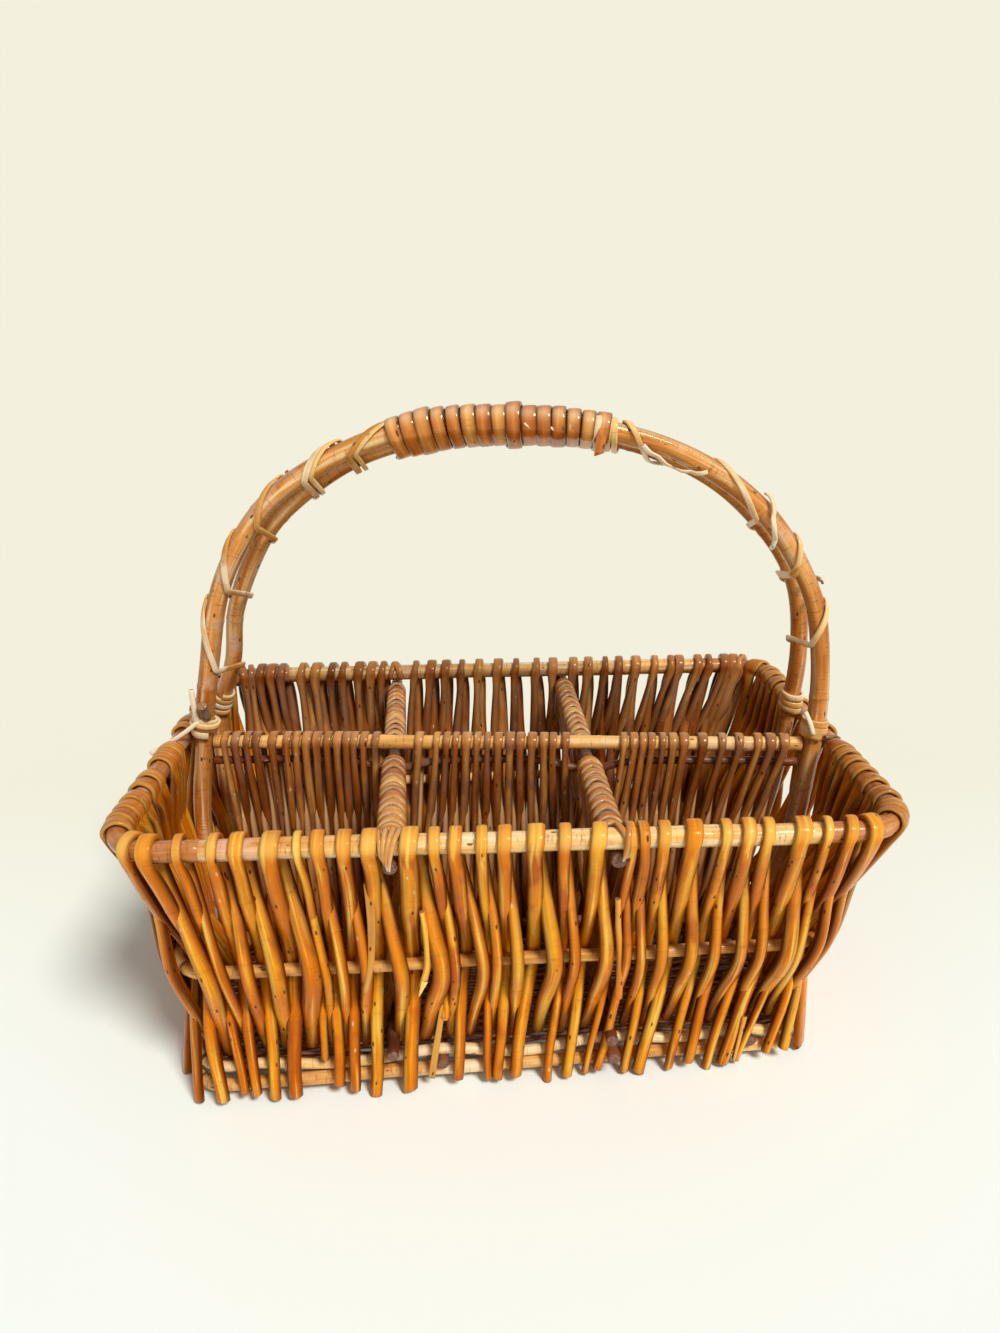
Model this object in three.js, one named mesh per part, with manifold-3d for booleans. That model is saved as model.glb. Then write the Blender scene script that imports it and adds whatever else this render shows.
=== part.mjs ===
import * as THREE from "three";
import Module from "manifold-3d";

const wasm = await Module();
wasm.setup();

// All lengths are millimetres: +X along the basket, +Y to the back, +Z up, the stakes' feet at zero

// Clearance left between a rod and whatever lies on it
const FIT = 0.35;

// Hoops: length and width between rod centrelines, height of the centreline, corner radius, rod
const RIM_LENGTH = 390;
const RIM_WIDTH = 241;
const RIM_HEIGHT = 161.4;
const RIM_CORNER = 26;
const RIM_ROD = 10.8;
const RIM_LAP = 20;
const MID_LENGTH = 349;
const MID_WIDTH = 212;
const MID_HEIGHT = 82.4;
const MID_CORNER = 22;
const MID_ROD = 6.7;
const BASE_LENGTH = 340;
const BASE_WIDTH = 200.6;
const BASE_CORNER = 18;
const LOWER_ROD = 7;
const UPPER_ROD = 6;
const UPPER_INSET = 2.2;

// Share of its diameter by which a thin hoop rod stops short of the corner's middle
const HOOP_END = 0.12;

// How far the short walls bow out between their corners, at the middle rail
const SIDE_BOW = 16;
const BOW_STEPS = 10;

// The base was woven first and sits a little to the left and turned under the rim
const BASE_SHIFT = -10;
const BASE_TURN = THREE.MathUtils.degToRad(3);

// Floor
const FOOT = 4.5;
const RIB_ROD = 6.6;
const RIB_PLACES = [-142, -34, 60, 139];
const RIB_OUT = 7;
const RIB_BACK = 1.4;
const WEAVER = 1.8;

// Stakes: thickness of a leg, thickness where it is bent over a rod
const STAKE = 5.2;
const STAKE_BENT = 2.8;
const STAKE_SPLIT = 3.2;

// Rows made by rule: swing of a cell's width, usual width of a crest and its swing
const CELL_SWING = 0.2;
const CREST_WIDE = 6.6;
const CREST_SWING = 1.8;

// Dividers: where they cross the long walls, at the rim and at the base
const CROSS_ROD = 8;
const CROSS_OUT = 4;
const TIE_ROD = 6.6;
const TIE_OUT = 10;
const TIE_OUT_BACK = 6;
const LEFT_DIVIDER = { rimFront: -59.4, rimBack: -72, baseFront: -65.8, baseBack: -74 };
const RIGHT_DIVIDER = { rimFront: 51.3, rimBack: 49.5, baseFront: 54.6, baseBack: 50 };
const LONG_ROD = 8.6;
const SECOND_ROD = 5;
const SECOND_DROP = 12;

// The second rail dips under each cross rail: reach of the dip and of its flat part
const DIP_REACH = 26;
const DIP_FLAT = 6;

// Divider stakes: share of their pitch at the crest and at the feet, front and rear leg
const LONG_CREST = 0.74;
const CROSS_CREST = 0.94;
const FOOT_FILL = 0.52;
const REAR_FOOT = 0.84;
const THICK_STEP = 0.03;

// Handle: two bent rods, where their legs stand, and the outline of the arch over the rim
const FRONT_ROD = 11;
const BACK_ROD = 10;
const HANDLE_RISE = 186.5;
const LEFT_STANDOFF = 4;
const RIGHT_STANDOFF = 1;
const FRONT_LEGS = { leftRim: 6, leftBase: -4, rightRim: -19, rightBase: -12 };
const BACK_LEGS = { leftRim: 44, leftBase: 40, rightRim: 23, rightBase: 32 };
const ARCH = [
  [-0.95, 0.262],
  [-0.906, 0.444],
  [-0.824, 0.622],
  [-0.708, 0.773],
  [-0.493, 0.912],
  [-0.229, 0.99],
  [0.047, 1],
  [0.306, 0.974],
  [0.587, 0.877],
  [0.818, 0.705],
  [0.956, 0.502],
  [1.006, 0.287],
];
const HANDLE_STEPS = 30;

// How fast the two rods draw together towards the top
const ARCH_SPREAD = 1.4;

// The back rod's arch runs inside the front rod's, further in on the left
const BACK_DROP = { left: 9, right: 2 };

// Windings: length of the grip along the rods, turns, and the cane's width and thickness
const GRIP_LENGTH = 118;
const GRIP_TURNS = 15;
const CANE_THICK = 2;
const CANE_GAP = 1.3;
const CANE_SLACK = 0.15;
const BINDER_TURNS = 5;
const BINDER_WIDE = 4;
const BINDER_THICK = 1.6;
const BINDER_SLACK = 0.3;
const BINDER_END = 0.2;
const BINDER_CLEAR = 3.4;
const LASH_TURNS = 2.5;
const LASH_WIDE = 4;
const LASH_PITCH = 5.2;
const TIE_WIDE = 2.2;
const TIE_GAP = 0.7;
const TIE_SPARE = 2;
const TIE_TURNS = 2;
const TIE_LEAN = 0.45;
const TURN_STEPS = 8;
const END_STEPS = 12;

// Heights that follow from the stack of rods at the base
const LOWER_Z = FOOT + LOWER_ROD / 2;
const RIB_Z = LOWER_Z + LOWER_ROD / 2 + FIT + RIB_ROD / 2;
const UPPER_Z = RIB_Z + RIB_ROD / 2 + FIT + UPPER_ROD / 2;
const TIE_Z = UPPER_Z + UPPER_ROD / 2 + FIT + TIE_ROD / 2;
const LONG_TIE_Z = TIE_Z + TIE_ROD + FIT;
const FLOOR_TOP = RIB_Z + RIB_ROD / 2 + WEAVER;
const FLOOR_UNDER = RIB_Z - RIB_ROD / 2 - WEAVER;
const INNER_FOOT_Z = FLOOR_TOP + FIT;
const CROSS_Z = RIM_HEIGHT - RIM_ROD / 2 - FIT - CROSS_ROD / 2;

// Clear space that a row of stakes leaves beside a divider, a handle leg and a corner
const DIVIDER_MARGIN = CROSS_ROD / 2 + 4;
const LEG_MARGIN = FRONT_ROD / 2 + 2.5;
const CORNER_MARGIN = 4.9;

const UP = new THREE.Vector3(0, 0, 1);
const lerp = THREE.MathUtils.lerp;

// Closed sweep of a section with flat sides along stations of place, outward side and half sizes
function sweep(stations, sides) {
  const grow = sides === 4 ? Math.SQRT2 : 1;
  const positions = [];
  stations.forEach((station, i) => {
    const before = stations[Math.max(i - 1, 0)].at;
    const after = stations[Math.min(i + 1, stations.length - 1)].at;
    const into = station.at.clone().sub(before).normalize();
    const onward = after.clone().sub(station.at).normalize();
    const tangent = into.clone().add(onward).normalize();
    const bend = i > 0 && i < stations.length - 1 ? Math.sqrt((1 + into.dot(onward)) / 2) : 1;
    const wide = tangent.clone().cross(station.out).normalize();
    const deep = wide.clone().cross(tangent).normalize();
    for (let k = 0; k < sides; k++) {
      const angle = (2 * Math.PI * (k + 0.5)) / sides;
      const corner = station.at
        .clone()
        .addScaledVector(wide, Math.cos(angle) * station.halfWide * grow)
        .addScaledVector(deep, (Math.sin(angle) * station.halfDeep * grow) / bend);
      if (station.level) corner.addScaledVector(tangent, (station.at.z - corner.z) / tangent.z);
      positions.push(corner.x, corner.y, corner.z);
    }
  });
  const index = [];
  for (let i = 0; i < stations.length - 1; i++) {
    for (let k = 0; k < sides; k++) {
      const a = i * sides + k;
      const b = i * sides + ((k + 1) % sides);
      index.push(a, b, b + sides, a, b + sides, a + sides);
    }
  }
  const last = (stations.length - 1) * sides;
  for (let k = 1; k < sides - 1; k++) {
    index.push(0, k + 1, k, last, last + k, last + k + 1);
  }
  const geometry = new THREE.BufferGeometry();
  geometry.setAttribute("position", new THREE.Float32BufferAttribute(positions, 3));
  geometry.setIndex(index);
  return facingOut(geometry);
}

function signedVolume(geometry) {
  const p = geometry.attributes.position;
  const index = geometry.index.array;
  const [a, b, c] = [new THREE.Vector3(), new THREE.Vector3(), new THREE.Vector3()];
  let volume = 0;
  for (let i = 0; i < index.length; i += 3) {
    a.fromBufferAttribute(p, index[i]);
    b.fromBufferAttribute(p, index[i + 1]);
    c.fromBufferAttribute(p, index[i + 2]);
    volume += a.dot(b.cross(c)) / 6;
  }
  return volume;
}

function facingOut(geometry) {
  if (signedVolume(geometry) < 0) {
    geometry.setIndex([...geometry.index.array].reverse());
  }
  return geometry;
}

// Round rod along a list of points
function rod(points, diameter, sides, out = UP) {
  const half = diameter / 2;
  return sweep(
    points.map((at) => ({ at, out, halfWide: half, halfDeep: half })),
    sides,
  );
}

// Booleans between closed meshes
function toSolid(geometry) {
  return new wasm.Manifold(
    new wasm.Mesh({
      numProp: 3,
      vertProperties: new Float32Array(geometry.attributes.position.array),
      triVerts: new Uint32Array(geometry.index.array),
    }),
  );
}

function toGeometry(solid) {
  const mesh = solid.getMesh();
  const geometry = new THREE.BufferGeometry();
  const position = new THREE.Float32BufferAttribute(mesh.vertProperties, 3);
  geometry.setAttribute("position", position);
  geometry.setIndex(new THREE.BufferAttribute(mesh.triVerts, 1));
  return geometry;
}

// Stakes that press on their neighbours are one body
function pressed(geometries) {
  return toGeometry(geometries.map(toSolid).reduce((all, one) => all.add(one)));
}

// Outline of the basket at a height: it narrows to the middle rail and less so below it
function levelAt(z) {
  const above = z > MID_HEIGHT;
  const share = above
    ? (z - MID_HEIGHT) / (RIM_HEIGHT - MID_HEIGHT)
    : (z - LOWER_Z) / (MID_HEIGHT - LOWER_Z);
  const lean = (RIM_HEIGHT - z) / (RIM_HEIGHT - LOWER_Z);
  return {
    length: above ? lerp(MID_LENGTH, RIM_LENGTH, share) : lerp(BASE_LENGTH, MID_LENGTH, share),
    width: above ? lerp(MID_WIDTH, RIM_WIDTH, share) : lerp(BASE_WIDTH, MID_WIDTH, share),
    corner: above ? lerp(MID_CORNER, RIM_CORNER, share) : lerp(BASE_CORNER, MID_CORNER, share),
    bow: SIDE_BOW * (above ? 1 - share : Math.max((z - UPPER_Z) / (MID_HEIGHT - UPPER_Z), 0)),
    shift: BASE_SHIFT * lean,
    turn: BASE_TURN * lean,
  };
}

const floorLevel = levelAt(RIB_Z);

// Sides of an outline, counted from the front anticlockwise: front, right, back, left
const FRONT = 0;
const RIGHT = 1;
const BACK = 2;
const LEFT = 3;

function runOf(level, side) {
  const along = side % 2 ? level.width : level.length;
  const across = side % 2 ? level.length : level.width;
  const arc = (Math.PI / 4) * level.corner;
  return { along, across, arc, total: along - 2 * level.corner + 2 * arc };
}

// Point on a side, by its share of the run from corner middle to corner middle, moved outwards
function place(level, side, share, offset, z) {
  const { along, across, arc, total } = runOf(level, side);
  const walked = share * total;
  let turnedBy = 0;
  if (walked < arc) turnedBy = (walked - arc) / level.corner;
  if (walked > total - arc) turnedBy = (walked - total + arc) / level.corner;
  const straight = THREE.MathUtils.clamp(walked, arc, total - arc) - arc;
  const length = total - 2 * arc;
  const bow = side % 2 ? level.bow : 0;
  const bowed = bow * Math.sin((Math.PI * straight) / length) ** 2;
  const slope = ((bow * Math.PI) / length) * Math.sin((2 * Math.PI * straight) / length);
  const u = straight - along / 2 + level.corner + Math.sin(turnedBy) * (level.corner + offset);
  const v = across / 2 - level.corner + Math.cos(turnedBy) * (level.corner + offset) + bowed;
  const facing = (side * Math.PI) / 2 + level.turn;
  const at = new THREE.Vector3(u, -v, z).applyAxisAngle(UP, facing);
  at.x += level.shift;
  const faced = turnedBy - Math.atan(slope);
  const out = new THREE.Vector3(Math.sin(faced), -Math.cos(faced), 0);
  return { at, out: out.applyAxisAngle(UP, facing), turned: turnedBy !== 0 };
}

// Share of a side's run at a world X on the long sides, or a world Y on the short ones
function shareAt(level, side, coordinate, margin) {
  const { along, across, arc, total } = runOf(level, side);
  const sign = side === FRONT || side === RIGHT ? 1 : -1;
  const shifted = side % 2 ? coordinate : coordinate - level.shift;
  const u = (sign * shifted - (across / 2) * Math.sin(level.turn)) / Math.cos(level.turn);
  return (u + margin + along / 2 - level.corner + arc) / total;
}

// Two heights blended: rim value at the rim, base value at the base
function atHeight(rimValue, baseValue, z) {
  return lerp(baseValue, rimValue, (z - LOWER_Z) / (RIM_HEIGHT - LOWER_Z));
}

const dividerFront = (d, z) => atHeight(d.rimFront, d.baseFront, z);
const dividerBack = (d, z) => atHeight(d.rimBack, d.baseBack, z);

// Hoop rods that meet at the middle of each corner
function hoopRod(z, side, inset, diameter, sides) {
  const level = levelAt(z);
  const { arc, total } = runOf(level, side);
  const end = (FIT + diameter * HOOP_END) / total;
  const stops = [end, arc / 2 / total, arc / total];
  const bends = side % 2 && level.bow ? BOW_STEPS : 1;
  for (let i = 1; i < bends; i++) stops.push(lerp(arc / total, 1 - arc / total, i / bends));
  const shares = [...stops, 1 - arc / total, 1 - arc / 2 / total, 1 - end];
  return rod(
    shares.map((share) => place(level, side, share, -inset, z).at),
    diameter,
    sides,
  );
}

// Rim rods: the short sides are bent round both their corners and butt on the long ones
function rimRod(side) {
  const level = levelAt(RIM_HEIGHT);
  const on = (which, share) => place(level, which, share, 0, RIM_HEIGHT).at;
  const run = runOf(level, side);
  const butt = (run.arc + RIM_LAP + FIT) / run.total;
  if (side === FRONT || side === BACK) {
    return rod([on(side, butt), on(side, 1 - butt)], RIM_ROD, 8);
  }
  const near = (side + 3) % 4;
  const far = (side + 1) % 4;
  const beside = runOf(level, near);
  const stops = [beside.arc + RIM_LAP, beside.arc, beside.arc / 2];
  const points = stops.map((walked) => on(near, 1 - walked / beside.total));
  const own = [0, run.arc / 2, run.arc].map((walked) => walked / run.total);
  points.push(...own.map((share) => on(side, share)));
  points.push(...own.reverse().map((share) => on(side, 1 - share)));
  stops.reverse().forEach((walked) => points.push(on(far, walked / beside.total)));
  return rod(points, RIM_ROD, 8);
}

// Steepest lean of a leg: the wall's own lean, the base's shift and the change of side at a hoop
const PAST_MID = MID_ROD / 2 + FIT + STAKE / 2;
const PAST_RIM = RIM_ROD / 2 + FIT + STAKE_BENT / 2;
const PAST_BASE = UPPER_INSET + UPPER_ROD / 2 + FIT + STAKE / 2;
function slant(spread, pastBoth, rise) {
  const shift = (Math.abs(BASE_SHIFT) * rise) / (RIM_HEIGHT - LOWER_Z);
  return Math.hypot(Math.max(spread, 0) / 2 + shift + pastBoth, rise) / rise;
}
const upperSpread = Math.max(RIM_LENGTH - MID_LENGTH, RIM_WIDTH - MID_WIDTH);
const lowerSpread = Math.max(MID_LENGTH - BASE_LENGTH, MID_WIDTH - BASE_WIDTH);
const UPPER_SLANT = slant(upperSpread, PAST_MID + PAST_RIM, RIM_HEIGHT - MID_HEIGHT);
const narrowing = Math.max(BASE_LENGTH - MID_LENGTH, BASE_WIDTH - MID_WIDTH);
const FOOT_SLANT = slant(narrowing, PAST_MID + PAST_BASE, MID_HEIGHT);

// Bends of a stake over the rim, and its reach from the rim rod
const CREST_BENDS = [-8, 58, 122, 188];
const RIM_BEND = Math.cos(THREE.MathUtils.degToRad((CREST_BENDS[1] - CREST_BENDS[0]) / 2));
const RIM_OUT = PAST_RIM / RIM_BEND;
const CORNER_EASE = 0.8;
const passUpper = UPPER_ROD / 2 - UPPER_INSET + FIT + STAKE / 2;
const passLower = LOWER_ROD / 2 + FIT + STAKE / 2;

// Offsets of the legs from a wall's centreline, worked out from the rods that they pass
function legOffsets(bow) {
  const lowerSlant = slant(lowerSpread + 2 * bow, PAST_MID + PAST_BASE, MID_HEIGHT - INNER_FOOT_Z);
  const bowSlope = (bow * Math.PI) / (MID_WIDTH - 2 * MID_CORNER);
  const mid = PAST_MID * Math.max(UPPER_SLANT, lowerSlant) * Math.hypot(bowSlope, 1);
  const footFor = (pass, z) =>
    (pass * FOOT_SLANT + mid * (z / MID_HEIGHT)) / (1 - z / MID_HEIGHT);
  const outerFoot = Math.max(footFor(passUpper, UPPER_Z), footFor(passLower, LOWER_Z));
  return { mid, outerFoot, innerFoot: PAST_BASE * lowerSlant };
}
const LONG_WALL = legOffsets(0);
const SHORT_WALL = legOffsets(SIDE_BOW);

// Share of a stake's cell at which its outer and its inner leg stand
const OUTER_LEG = 0.22;
const INNER_LEG = 0.78;
const RIM_LEG = 0.28;
const LEG_FILL = 0.505;
const CORNER_FILL = 0.62;
const NECK_FILL = 0.32;
const CREST_FILL = 0.86;

// Outer feet step aside where a floor rib comes out of the front wall
function besideRibs(side, foot, mid, halfWidth) {
  if (side !== FRONT) return foot;
  const passing = foot.clone().lerp(mid, RIB_Z / MID_HEIGHT);
  passing.x -= floorLevel.shift;
  const u = passing.applyAxisAngle(UP, -floorLevel.turn).x;
  const clear = RIB_ROD / 2 + FIT * 2 + halfWidth;
  const rib = RIB_PLACES.find((x) => Math.abs(u - x) < clear);
  if (rib === undefined) return foot;
  const aside = rib + (u < rib ? -clear : clear) - u;
  const reach = 1 - RIB_Z / MID_HEIGHT;
  const step = new THREE.Vector3(aside / reach, 0, 0).applyAxisAngle(UP, floorLevel.turn);
  return foot.clone().add(step);
}

// One stake folded over the rim: outer leg behind the middle rail, inner leg in front of it
function wallStake(bay, from, to, crest) {
  const { side } = bay;
  const offsets = side % 2 ? SHORT_WALL : LONG_WALL;
  const rim = levelAt(RIM_HEIGHT);
  const mid = levelAt(MID_HEIGHT);
  const base = levelAt(0);
  const inner = levelAt(INNER_FOOT_Z);
  const across = (level, z, q) => lerp(bay.start(level, z), bay.end(level, z), q);
  const outerLeg = lerp(from, to, OUTER_LEG);
  const innerLeg = lerp(from, to, INNER_LEG);
  const cellAt = (level, z) =>
    (to - from) * (bay.end(level, z) - bay.start(level, z)) * runOf(level, side).total;
  const { arc, total } = runOf(mid, side);
  const walked = across(mid, MID_HEIGHT, (from + to) / 2) * total;
  const bent = Math.min(walked, total - walked) < arc + cellAt(mid, MID_HEIGHT);
  const half = (level, z) => (cellAt(level, z) * (bent ? CORNER_FILL : LEG_FILL)) / 2;
  const crestHalf = Math.min(crest, cellAt(rim, RIM_HEIGHT) * CREST_FILL) / 2;
  const neckHalf = Math.min(crest, cellAt(rim, RIM_HEIGHT) * NECK_FILL) / 2;
  const station = (level, levelZ, q, offset, z, halfWide, thick, more) => {
    const share = across(level, levelZ, q);
    let spot = place(level, side, share, offset, z);
    if (spot.turned && offset < 0) spot = place(level, side, share, offset - CORNER_EASE, z);
    return { at: spot.at, out: spot.out, halfWide, halfDeep: thick / 2, ...more };
  };
  const midHalf = half(mid, MID_HEIGHT);
  const outerMid = station(mid, MID_HEIGHT, outerLeg, -offsets.mid, MID_HEIGHT, midHalf, STAKE);
  const footHalf = half(base, 0);
  const flatEnd = { level: true };
  const outerEnd = station(base, 0, outerLeg, offsets.outerFoot, 0, footHalf, STAKE, flatEnd);
  outerEnd.at = besideRibs(side, outerEnd.at, outerMid.at, footHalf);
  const stations = [outerEnd, outerMid];
  CREST_BENDS.forEach((degrees, i) => {
    const angle = THREE.MathUtils.degToRad(degrees);
    const q = lerp(from, to, lerp(RIM_LEG, 1 - RIM_LEG, i / 3));
    const z = RIM_HEIGHT + Math.sin(angle) * RIM_OUT;
    const wide = i % 3 ? crestHalf : neckHalf;
    const bent = station(rim, RIM_HEIGHT, q, Math.cos(angle) * RIM_OUT, z, wide, STAKE_BENT);
    bent.out = bent.out.clone().multiplyScalar(Math.cos(angle)).addScaledVector(UP, Math.sin(angle));
    stations.push(bent);
  });
  const innerMid = station(mid, MID_HEIGHT, innerLeg, offsets.mid, MID_HEIGHT, midHalf, STAKE);
  innerMid.out = innerMid.out.clone().negate();
  const innerEnd = station(
    inner,
    INNER_FOOT_Z,
    innerLeg,
    -offsets.innerFoot,
    INNER_FOOT_Z,
    half(inner, INNER_FOOT_Z),
    STAKE,
    flatEnd,
  );
  innerEnd.out = innerEnd.out.clone().negate();
  stations.push(innerMid, innerEnd);
  return sweep(stations, 4);
}

// A bay of stakes between two borders; each stake has the width of its cell and of its crest
function wallBay(bay) {
  const total = bay.stakes.reduce((sum, [cell]) => sum + cell, 0);
  let walked = 0;
  return pressed(
    bay.stakes.map(([cell, crest]) => {
      const from = walked / total;
      walked += cell;
      return wallStake(bay, from, walked / total, crest);
    }),
  );
}

// Uneven stakes by rule: each a cell and a crest width
function unevenStakes(count, seed) {
  return Array.from({ length: count }, (_, k) => {
    const swing = Math.sin((k + 1) * 2.4 + seed * 1.7);
    const stout = Math.sin((k + 1) * 1.9 + seed * 3.1);
    return [1 + CELL_SWING * swing, CREST_WIDE + CREST_SWING * stout];
  });
}

// Borders of the bays
const cornerStart = (side) => (level) => CORNER_MARGIN / runOf(level, side).total;
const cornerEnd = (side) => (level) => 1 - CORNER_MARGIN / runOf(level, side).total;
const besideDivider = (side, divider, margin) => (level, z) => {
  const x = side === FRONT ? dividerFront(divider, z) : dividerBack(divider, z);
  return shareAt(level, side, x, margin);
};
const besideLeg = (side, legs, margin) => (level, z) => {
  const rimY = side === LEFT ? legs.leftRim : legs.rightRim;
  const baseY = side === LEFT ? legs.leftBase : legs.rightBase;
  return shareAt(level, side, atHeight(rimY, baseY, z), margin);
};

const WALL_BAYS = [
  {
    name: "front_stakes_left",
    side: FRONT,
    start: cornerStart(FRONT),
    end: besideDivider(FRONT, LEFT_DIVIDER, -DIVIDER_MARGIN),
    stakes: [
      [10.6, 6.7],
      [13.2, 6.7],
      [16.6, 6.7],
      [13.9, 5.3],
      [13.9, 7.7],
      [15.1, 8.7],
      [11.8, 4.3],
      [11.1, 6.3],
      [12, 7.2],
      [10.1, 7.7],
    ],
  },
  {
    name: "front_stakes_middle",
    side: FRONT,
    start: besideDivider(FRONT, LEFT_DIVIDER, DIVIDER_MARGIN),
    end: besideDivider(FRONT, RIGHT_DIVIDER, -DIVIDER_MARGIN),
    stakes: [
      [12, 8.7],
      [11, 5.8],
      [11.5, 6.7],
      [11.8, 5.8],
      [12.7, 7.2],
      [14.9, 9.1],
      [14.9, 6.3],
      [13.9, 7.2],
    ],
  },
  {
    name: "front_stakes_right",
    side: FRONT,
    start: besideDivider(FRONT, RIGHT_DIVIDER, DIVIDER_MARGIN),
    end: cornerEnd(FRONT),
    stakes: [
      [8, 4.3],
      [8, 5.3],
      [12, 5.8],
      [15.4, 8.2],
      [12.5, 5.8],
      [9.9, 6.3],
      [13.5, 5.8],
      [14.7, 7.7],
      [11.1, 4.8],
      [11.3, 6.3],
      [14.2, 7.2],
    ],
  },
  {
    name: "back_stakes_right",
    side: BACK,
    start: cornerStart(BACK),
    end: besideDivider(BACK, RIGHT_DIVIDER, -DIVIDER_MARGIN),
    stakes: unevenStakes(13, 1),
  },
  {
    name: "back_stakes_middle",
    side: BACK,
    start: besideDivider(BACK, RIGHT_DIVIDER, DIVIDER_MARGIN),
    end: besideDivider(BACK, LEFT_DIVIDER, -DIVIDER_MARGIN),
    stakes: unevenStakes(9, 2),
  },
  {
    name: "back_stakes_left",
    side: BACK,
    start: besideDivider(BACK, LEFT_DIVIDER, DIVIDER_MARGIN),
    end: cornerEnd(BACK),
    stakes: unevenStakes(12, 3),
  },
  {
    name: "right_stakes_front",
    side: RIGHT,
    start: cornerStart(RIGHT),
    end: besideLeg(RIGHT, FRONT_LEGS, -LEG_MARGIN),
    stakes: unevenStakes(8, 4),
  },
  {
    name: "right_stakes_middle",
    side: RIGHT,
    start: besideLeg(RIGHT, FRONT_LEGS, LEG_MARGIN),
    end: besideLeg(RIGHT, BACK_LEGS, -LEG_MARGIN),
    stakes: unevenStakes(2, 5),
  },
  {
    name: "right_stakes_rear",
    side: RIGHT,
    start: besideLeg(RIGHT, BACK_LEGS, LEG_MARGIN),
    end: cornerEnd(RIGHT),
    stakes: unevenStakes(7, 6),
  },
  {
    name: "left_stakes_rear",
    side: LEFT,
    start: cornerStart(LEFT),
    end: besideLeg(LEFT, BACK_LEGS, -LEG_MARGIN),
    stakes: unevenStakes(5, 7),
  },
  {
    name: "left_stakes_middle",
    side: LEFT,
    start: besideLeg(LEFT, BACK_LEGS, LEG_MARGIN),
    end: besideLeg(LEFT, FRONT_LEGS, -LEG_MARGIN),
    stakes: unevenStakes(2, 8),
  },
  {
    name: "left_stakes_front",
    side: LEFT,
    start: besideLeg(LEFT, FRONT_LEGS, LEG_MARGIN),
    end: cornerEnd(LEFT),
    stakes: unevenStakes(9, 9),
  },
];

// A handle leg leans on the middle rail and stands off the rim; its foot is on the floor
function legPoint(legs, side, diameter, z) {
  const y = (at) =>
    side === LEFT
      ? atHeight(legs.leftRim, legs.leftBase, at)
      : atHeight(legs.rightRim, legs.rightBase, at);
  const wallX = (at) => {
    const level = levelAt(at);
    return place(level, side, shareAt(level, side, y(at), 0), 0, at).at.x;
  };
  const inward = side === LEFT ? 1 : -1;
  const standoff = side === LEFT ? LEFT_STANDOFF : RIGHT_STANDOFF;
  const rimX = wallX(RIM_HEIGHT) + inward * (RIM_ROD / 2 + standoff + diameter / 2);
  const rise = RIM_HEIGHT - MID_HEIGHT;
  const lean = Math.hypot(wallX(MID_HEIGHT) - wallX(RIM_HEIGHT), rise) / rise;
  const midX = wallX(MID_HEIGHT) + inward * (MID_ROD / 2 + FIT + diameter / 2) * lean;
  const share = (z - MID_HEIGHT) / rise;
  const x = lerp(midX, rimX, share);
  const baseX = wallX(INNER_FOOT_Z) + inward * (UPPER_INSET + UPPER_ROD / 2 + 2 * FIT + diameter / 2);
  const outX = lerp(midX, baseX, (MID_HEIGHT - z) / (MID_HEIGHT - INNER_FOOT_Z));
  const held = z < MID_HEIGHT && (outX - x) * inward > 0;
  return new THREE.Vector3(held ? outX : x, y(z), z);
}

// Centreline of one handle rod, foot to foot; the two rods touch at the top
const TOP_GAP = (FRONT_ROD + BACK_ROD) / 2 + 2 * FIT;
function handleCurve(legs, diameter, isBack) {
  const left = legPoint(legs, LEFT, diameter, RIM_HEIGHT);
  const right = legPoint(legs, RIGHT, diameter, RIM_HEIGHT);
  const middle = (left.x + right.x) / 2;
  const half = (right.x - left.x) / 2;
  const points = [
    legPoint(legs, LEFT, diameter, INNER_FOOT_Z),
    legPoint(legs, LEFT, diameter, MID_HEIGHT),
    left,
  ];
  ARCH.forEach(([across, rise]) => {
    const drop = lerp(BACK_DROP.left, BACK_DROP.right, (across + 1) / 2);
    const inside = isBack ? drop : 0;
    const topY = isBack ? Math.sqrt(TOP_GAP ** 2 - drop ** 2) - TOP_GAP / 2 : -TOP_GAP / 2;
    const y = lerp(topY, across < 0 ? left.y : right.y, (1 - rise) ** ARCH_SPREAD);
    const z = RIM_HEIGHT + (HANDLE_RISE - inside) * rise;
    points.push(new THREE.Vector3(middle + (half - inside) * across, y, z));
  });
  points.push(
    right,
    legPoint(legs, RIGHT, diameter, MID_HEIGHT),
    legPoint(legs, RIGHT, diameter, INNER_FOOT_Z),
  );
  return new THREE.CatmullRomCurve3(points, false, "centripetal");
}

const frontHandle = handleCurve(FRONT_LEGS, FRONT_ROD, false);
const backHandle = handleCurve(BACK_LEGS, BACK_ROD, true);

function handleRod(curve, diameter) {
  const points = curve.getSpacedPoints(HANDLE_STEPS);
  const y = new THREE.Vector3(0, 1, 0);
  const stations = points.map((at) => ({
    at,
    out: y,
    halfWide: diameter / 2,
    halfDeep: diameter / 2,
  }));
  stations[0].level = true;
  stations[stations.length - 1].level = true;
  return sweep(stations, 8);
}

// Share of the handle's length at which it passes a given X on its upper part
function handleShare(x) {
  let low = BINDER_END;
  let high = 1 - BINDER_END;
  for (let i = 0; i < 40; i++) {
    const share = (low + high) / 2;
    if (frontHandle.getPointAt(share).x < x) low = share;
    else high = share;
  }
  return (low + high) / 2;
}

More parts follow.
